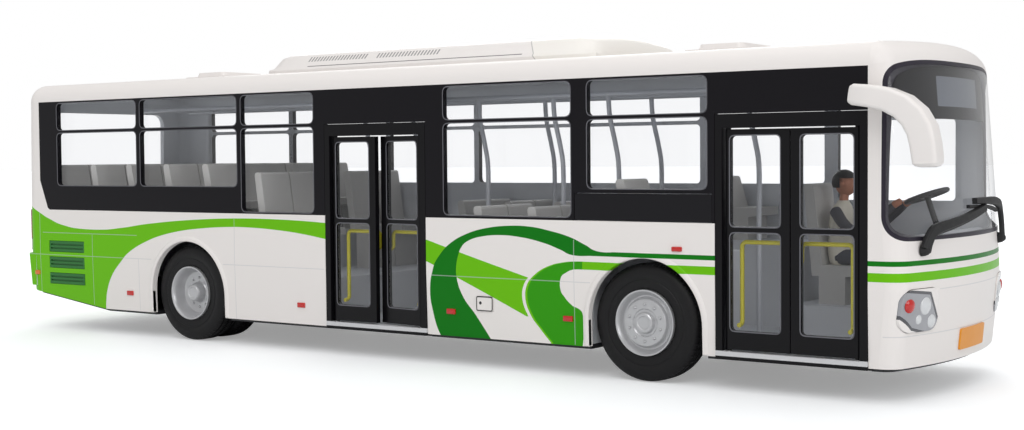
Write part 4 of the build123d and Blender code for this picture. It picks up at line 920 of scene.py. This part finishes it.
# The driver's face and hair: plain, calm and round
bm = bmesh.new()
for side in (-1, 1):
    dome(bm, DRIVER + Vector((2.28, side * 0.85, 0.45)), Vector((1, side * 0.35, 0.15)), 0.2, 0.12,
         steps=12, rings=3)
piece("driver_eyes", bm, materials["base_black"], "body")
bm = bmesh.new()
dome(bm, DRIVER + Vector((2.3, 0, -0.15)), Vector((1, 0, -0.2)), 0.34, 0.5, steps=14, rings=3)
for side in (-1, 1):
    dome(bm, DRIVER + Vector((0.1, side * 2.35, -0.1)), Vector((0, side, 0)), 0.55, 0.35, steps=14, rings=3)
piece("driver_nose_ears", bm, driver_finish[3], "body")
bm = bmesh.new()
chip(bm, DRIVER + Vector((2.15, 0, -1.15)), (0.35, 0.9, 0.14), 0.05)
piece("driver_mouth", bm, plain("lips", rgb(150, 78, 66), 0.6), "body")
bm = bmesh.new()
made = bmesh.ops.create_uvsphere(bm, u_segments=32, v_segments=20, radius=2.72 * MM)
for vert in made["verts"]:
    vert.co += (DRIVER + Vector((-0.32, 0, 0.3))) * MM
face_side = [v for v in bm.verts if v.co.z / MM < DRIVER.z + 0.9 and v.co.x / MM > DRIVER.x - 0.2
             or v.co.z / MM < DRIVER.z - 1.0]
bmesh.ops.delete(bm, geom=face_side, context="VERTS")
piece("driver_hair", bm, plain("hair", rgb(34, 29, 28), 0.55, grain=5000.0, depth=0.00008), "body")

# Studio: a pale floor that stays white round the model's soft shadow
floor_mesh = bpy.data.meshes.new("floor")
floor_mesh.from_pydata([(-6, -6, 0), (6, -6, 0), (6, 6, 0), (-6, 6, 0)], [], [(0, 1, 2, 3)])
floor = bpy.data.objects.new("floor", floor_mesh)
bpy.context.collection.objects.link(floor)
# Seen by the camera, the floor glows towards white with its distance from the middle, in metres
GLOW_NEAR, GLOW_FAR = 0.22, 0.6
floor_paint = Shader("floor_paint", color=rgb(236, 238, 240), rough=0.6)
ray = floor_paint.add("LightPath").outputs["Is Camera Ray"]
far = floor_paint.add("VectorMath", {0: floor_paint.add("TexCoord").outputs["Object"]}, operation="LENGTH")
lift = floor_paint.add("MapRange", {"Value": far.outputs["Value"], "From Min": GLOW_NEAR, "From Max": GLOW_FAR,
                                    "To Min": 0.3, "To Max": 0.62})
glow = floor_paint.add("Emission", {"Color": (1, 1, 1, 1),
                                    "Strength": floor_paint.math("MULTIPLY", ray, lift.outputs[0])})
both = floor_paint.add("AddShader")
floor_paint.tree.links.new(floor_paint.surface.outputs[0], both.inputs[0])
floor_paint.tree.links.new(glow.outputs[0], both.inputs[1])
floor_paint.tree.links.new(both.outputs[0], floor_paint.output.inputs["Surface"])
floor_mesh.materials.append(floor_paint.material)

world = bpy.data.worlds.new("studio")
bpy.context.scene.world = world
world.use_nodes = True
sky = world.node_tree
light_path = sky.nodes.new("ShaderNodeLightPath")
seen = sky.nodes.new("ShaderNodeMath")
seen.operation = "MAXIMUM"
sky.links.new(light_path.outputs["Is Camera Ray"], seen.inputs[0])
sky.links.new(light_path.outputs["Is Transmission Ray"], seen.inputs[1])
strength = sky.nodes.new("ShaderNodeMapRange")
strength.inputs["To Min"].default_value = 0.55
strength.inputs["To Max"].default_value = 1.0
sky.links.new(seen.outputs[0], strength.inputs["Value"])
sky.nodes["Background"].inputs["Color"].default_value = (1, 1, 1, 1)
sky.links.new(strength.outputs[0], sky.nodes["Background"].inputs["Strength"])


def lamp(name, place, target, size, power):
    data = bpy.data.lights.new(name, "AREA")
    data.shape = "DISK"
    data.size = size
    data.energy = power
    obj = bpy.data.objects.new(name, data)
    bpy.context.collection.objects.link(obj)
    obj.location = place
    obj.rotation_euler = (Vector(target) - Vector(place)).to_track_quat("-Z", "Y").to_euler()


lamp("key", (0.35, -0.75, 0.75), (0, 0, 0.04), 0.7, 3.3)
lamp("front", (1.0, -0.25, 0.4), (0.08, 0, 0.04), 0.5, 1.5)
lamp("top", (-0.1, 0.1, 1.1), (0, 0, 0.05), 1.0, 3.0)
lamp("back", (-0.6, 0.9, 0.6), (0, 0, 0.04), 0.8, 3.0)

# Camera, at the photograph's angle
yaw, pitch, roll = (math.radians(a) for a in (35.264, -2.188, -0.470))
ahead = Vector((-math.sin(yaw) * math.cos(pitch), math.cos(yaw) * math.cos(pitch), math.sin(pitch)))
across = Vector((math.cos(yaw), math.sin(yaw), 0))
upward = across.cross(ahead)
turned_across = math.cos(roll) * across + math.sin(roll) * upward
turned_up = -math.sin(roll) * across + math.cos(roll) * upward
camera_data = bpy.data.cameras.new("camera")
camera_data.sensor_width = 36.0
camera_data.lens = 52.19
camera_data.clip_start = 0.01
camera = bpy.data.objects.new("camera", camera_data)
bpy.context.collection.objects.link(camera)
turn = Matrix((turned_across, turned_up, -ahead)).transposed()
camera.matrix_world = Matrix.Translation(Vector((0.220867, -0.289920, 0.046005))) @ turn.to_4x4()
bpy.context.scene.camera = camera

bpy.context.scene.view_settings.view_transform = "Standard"
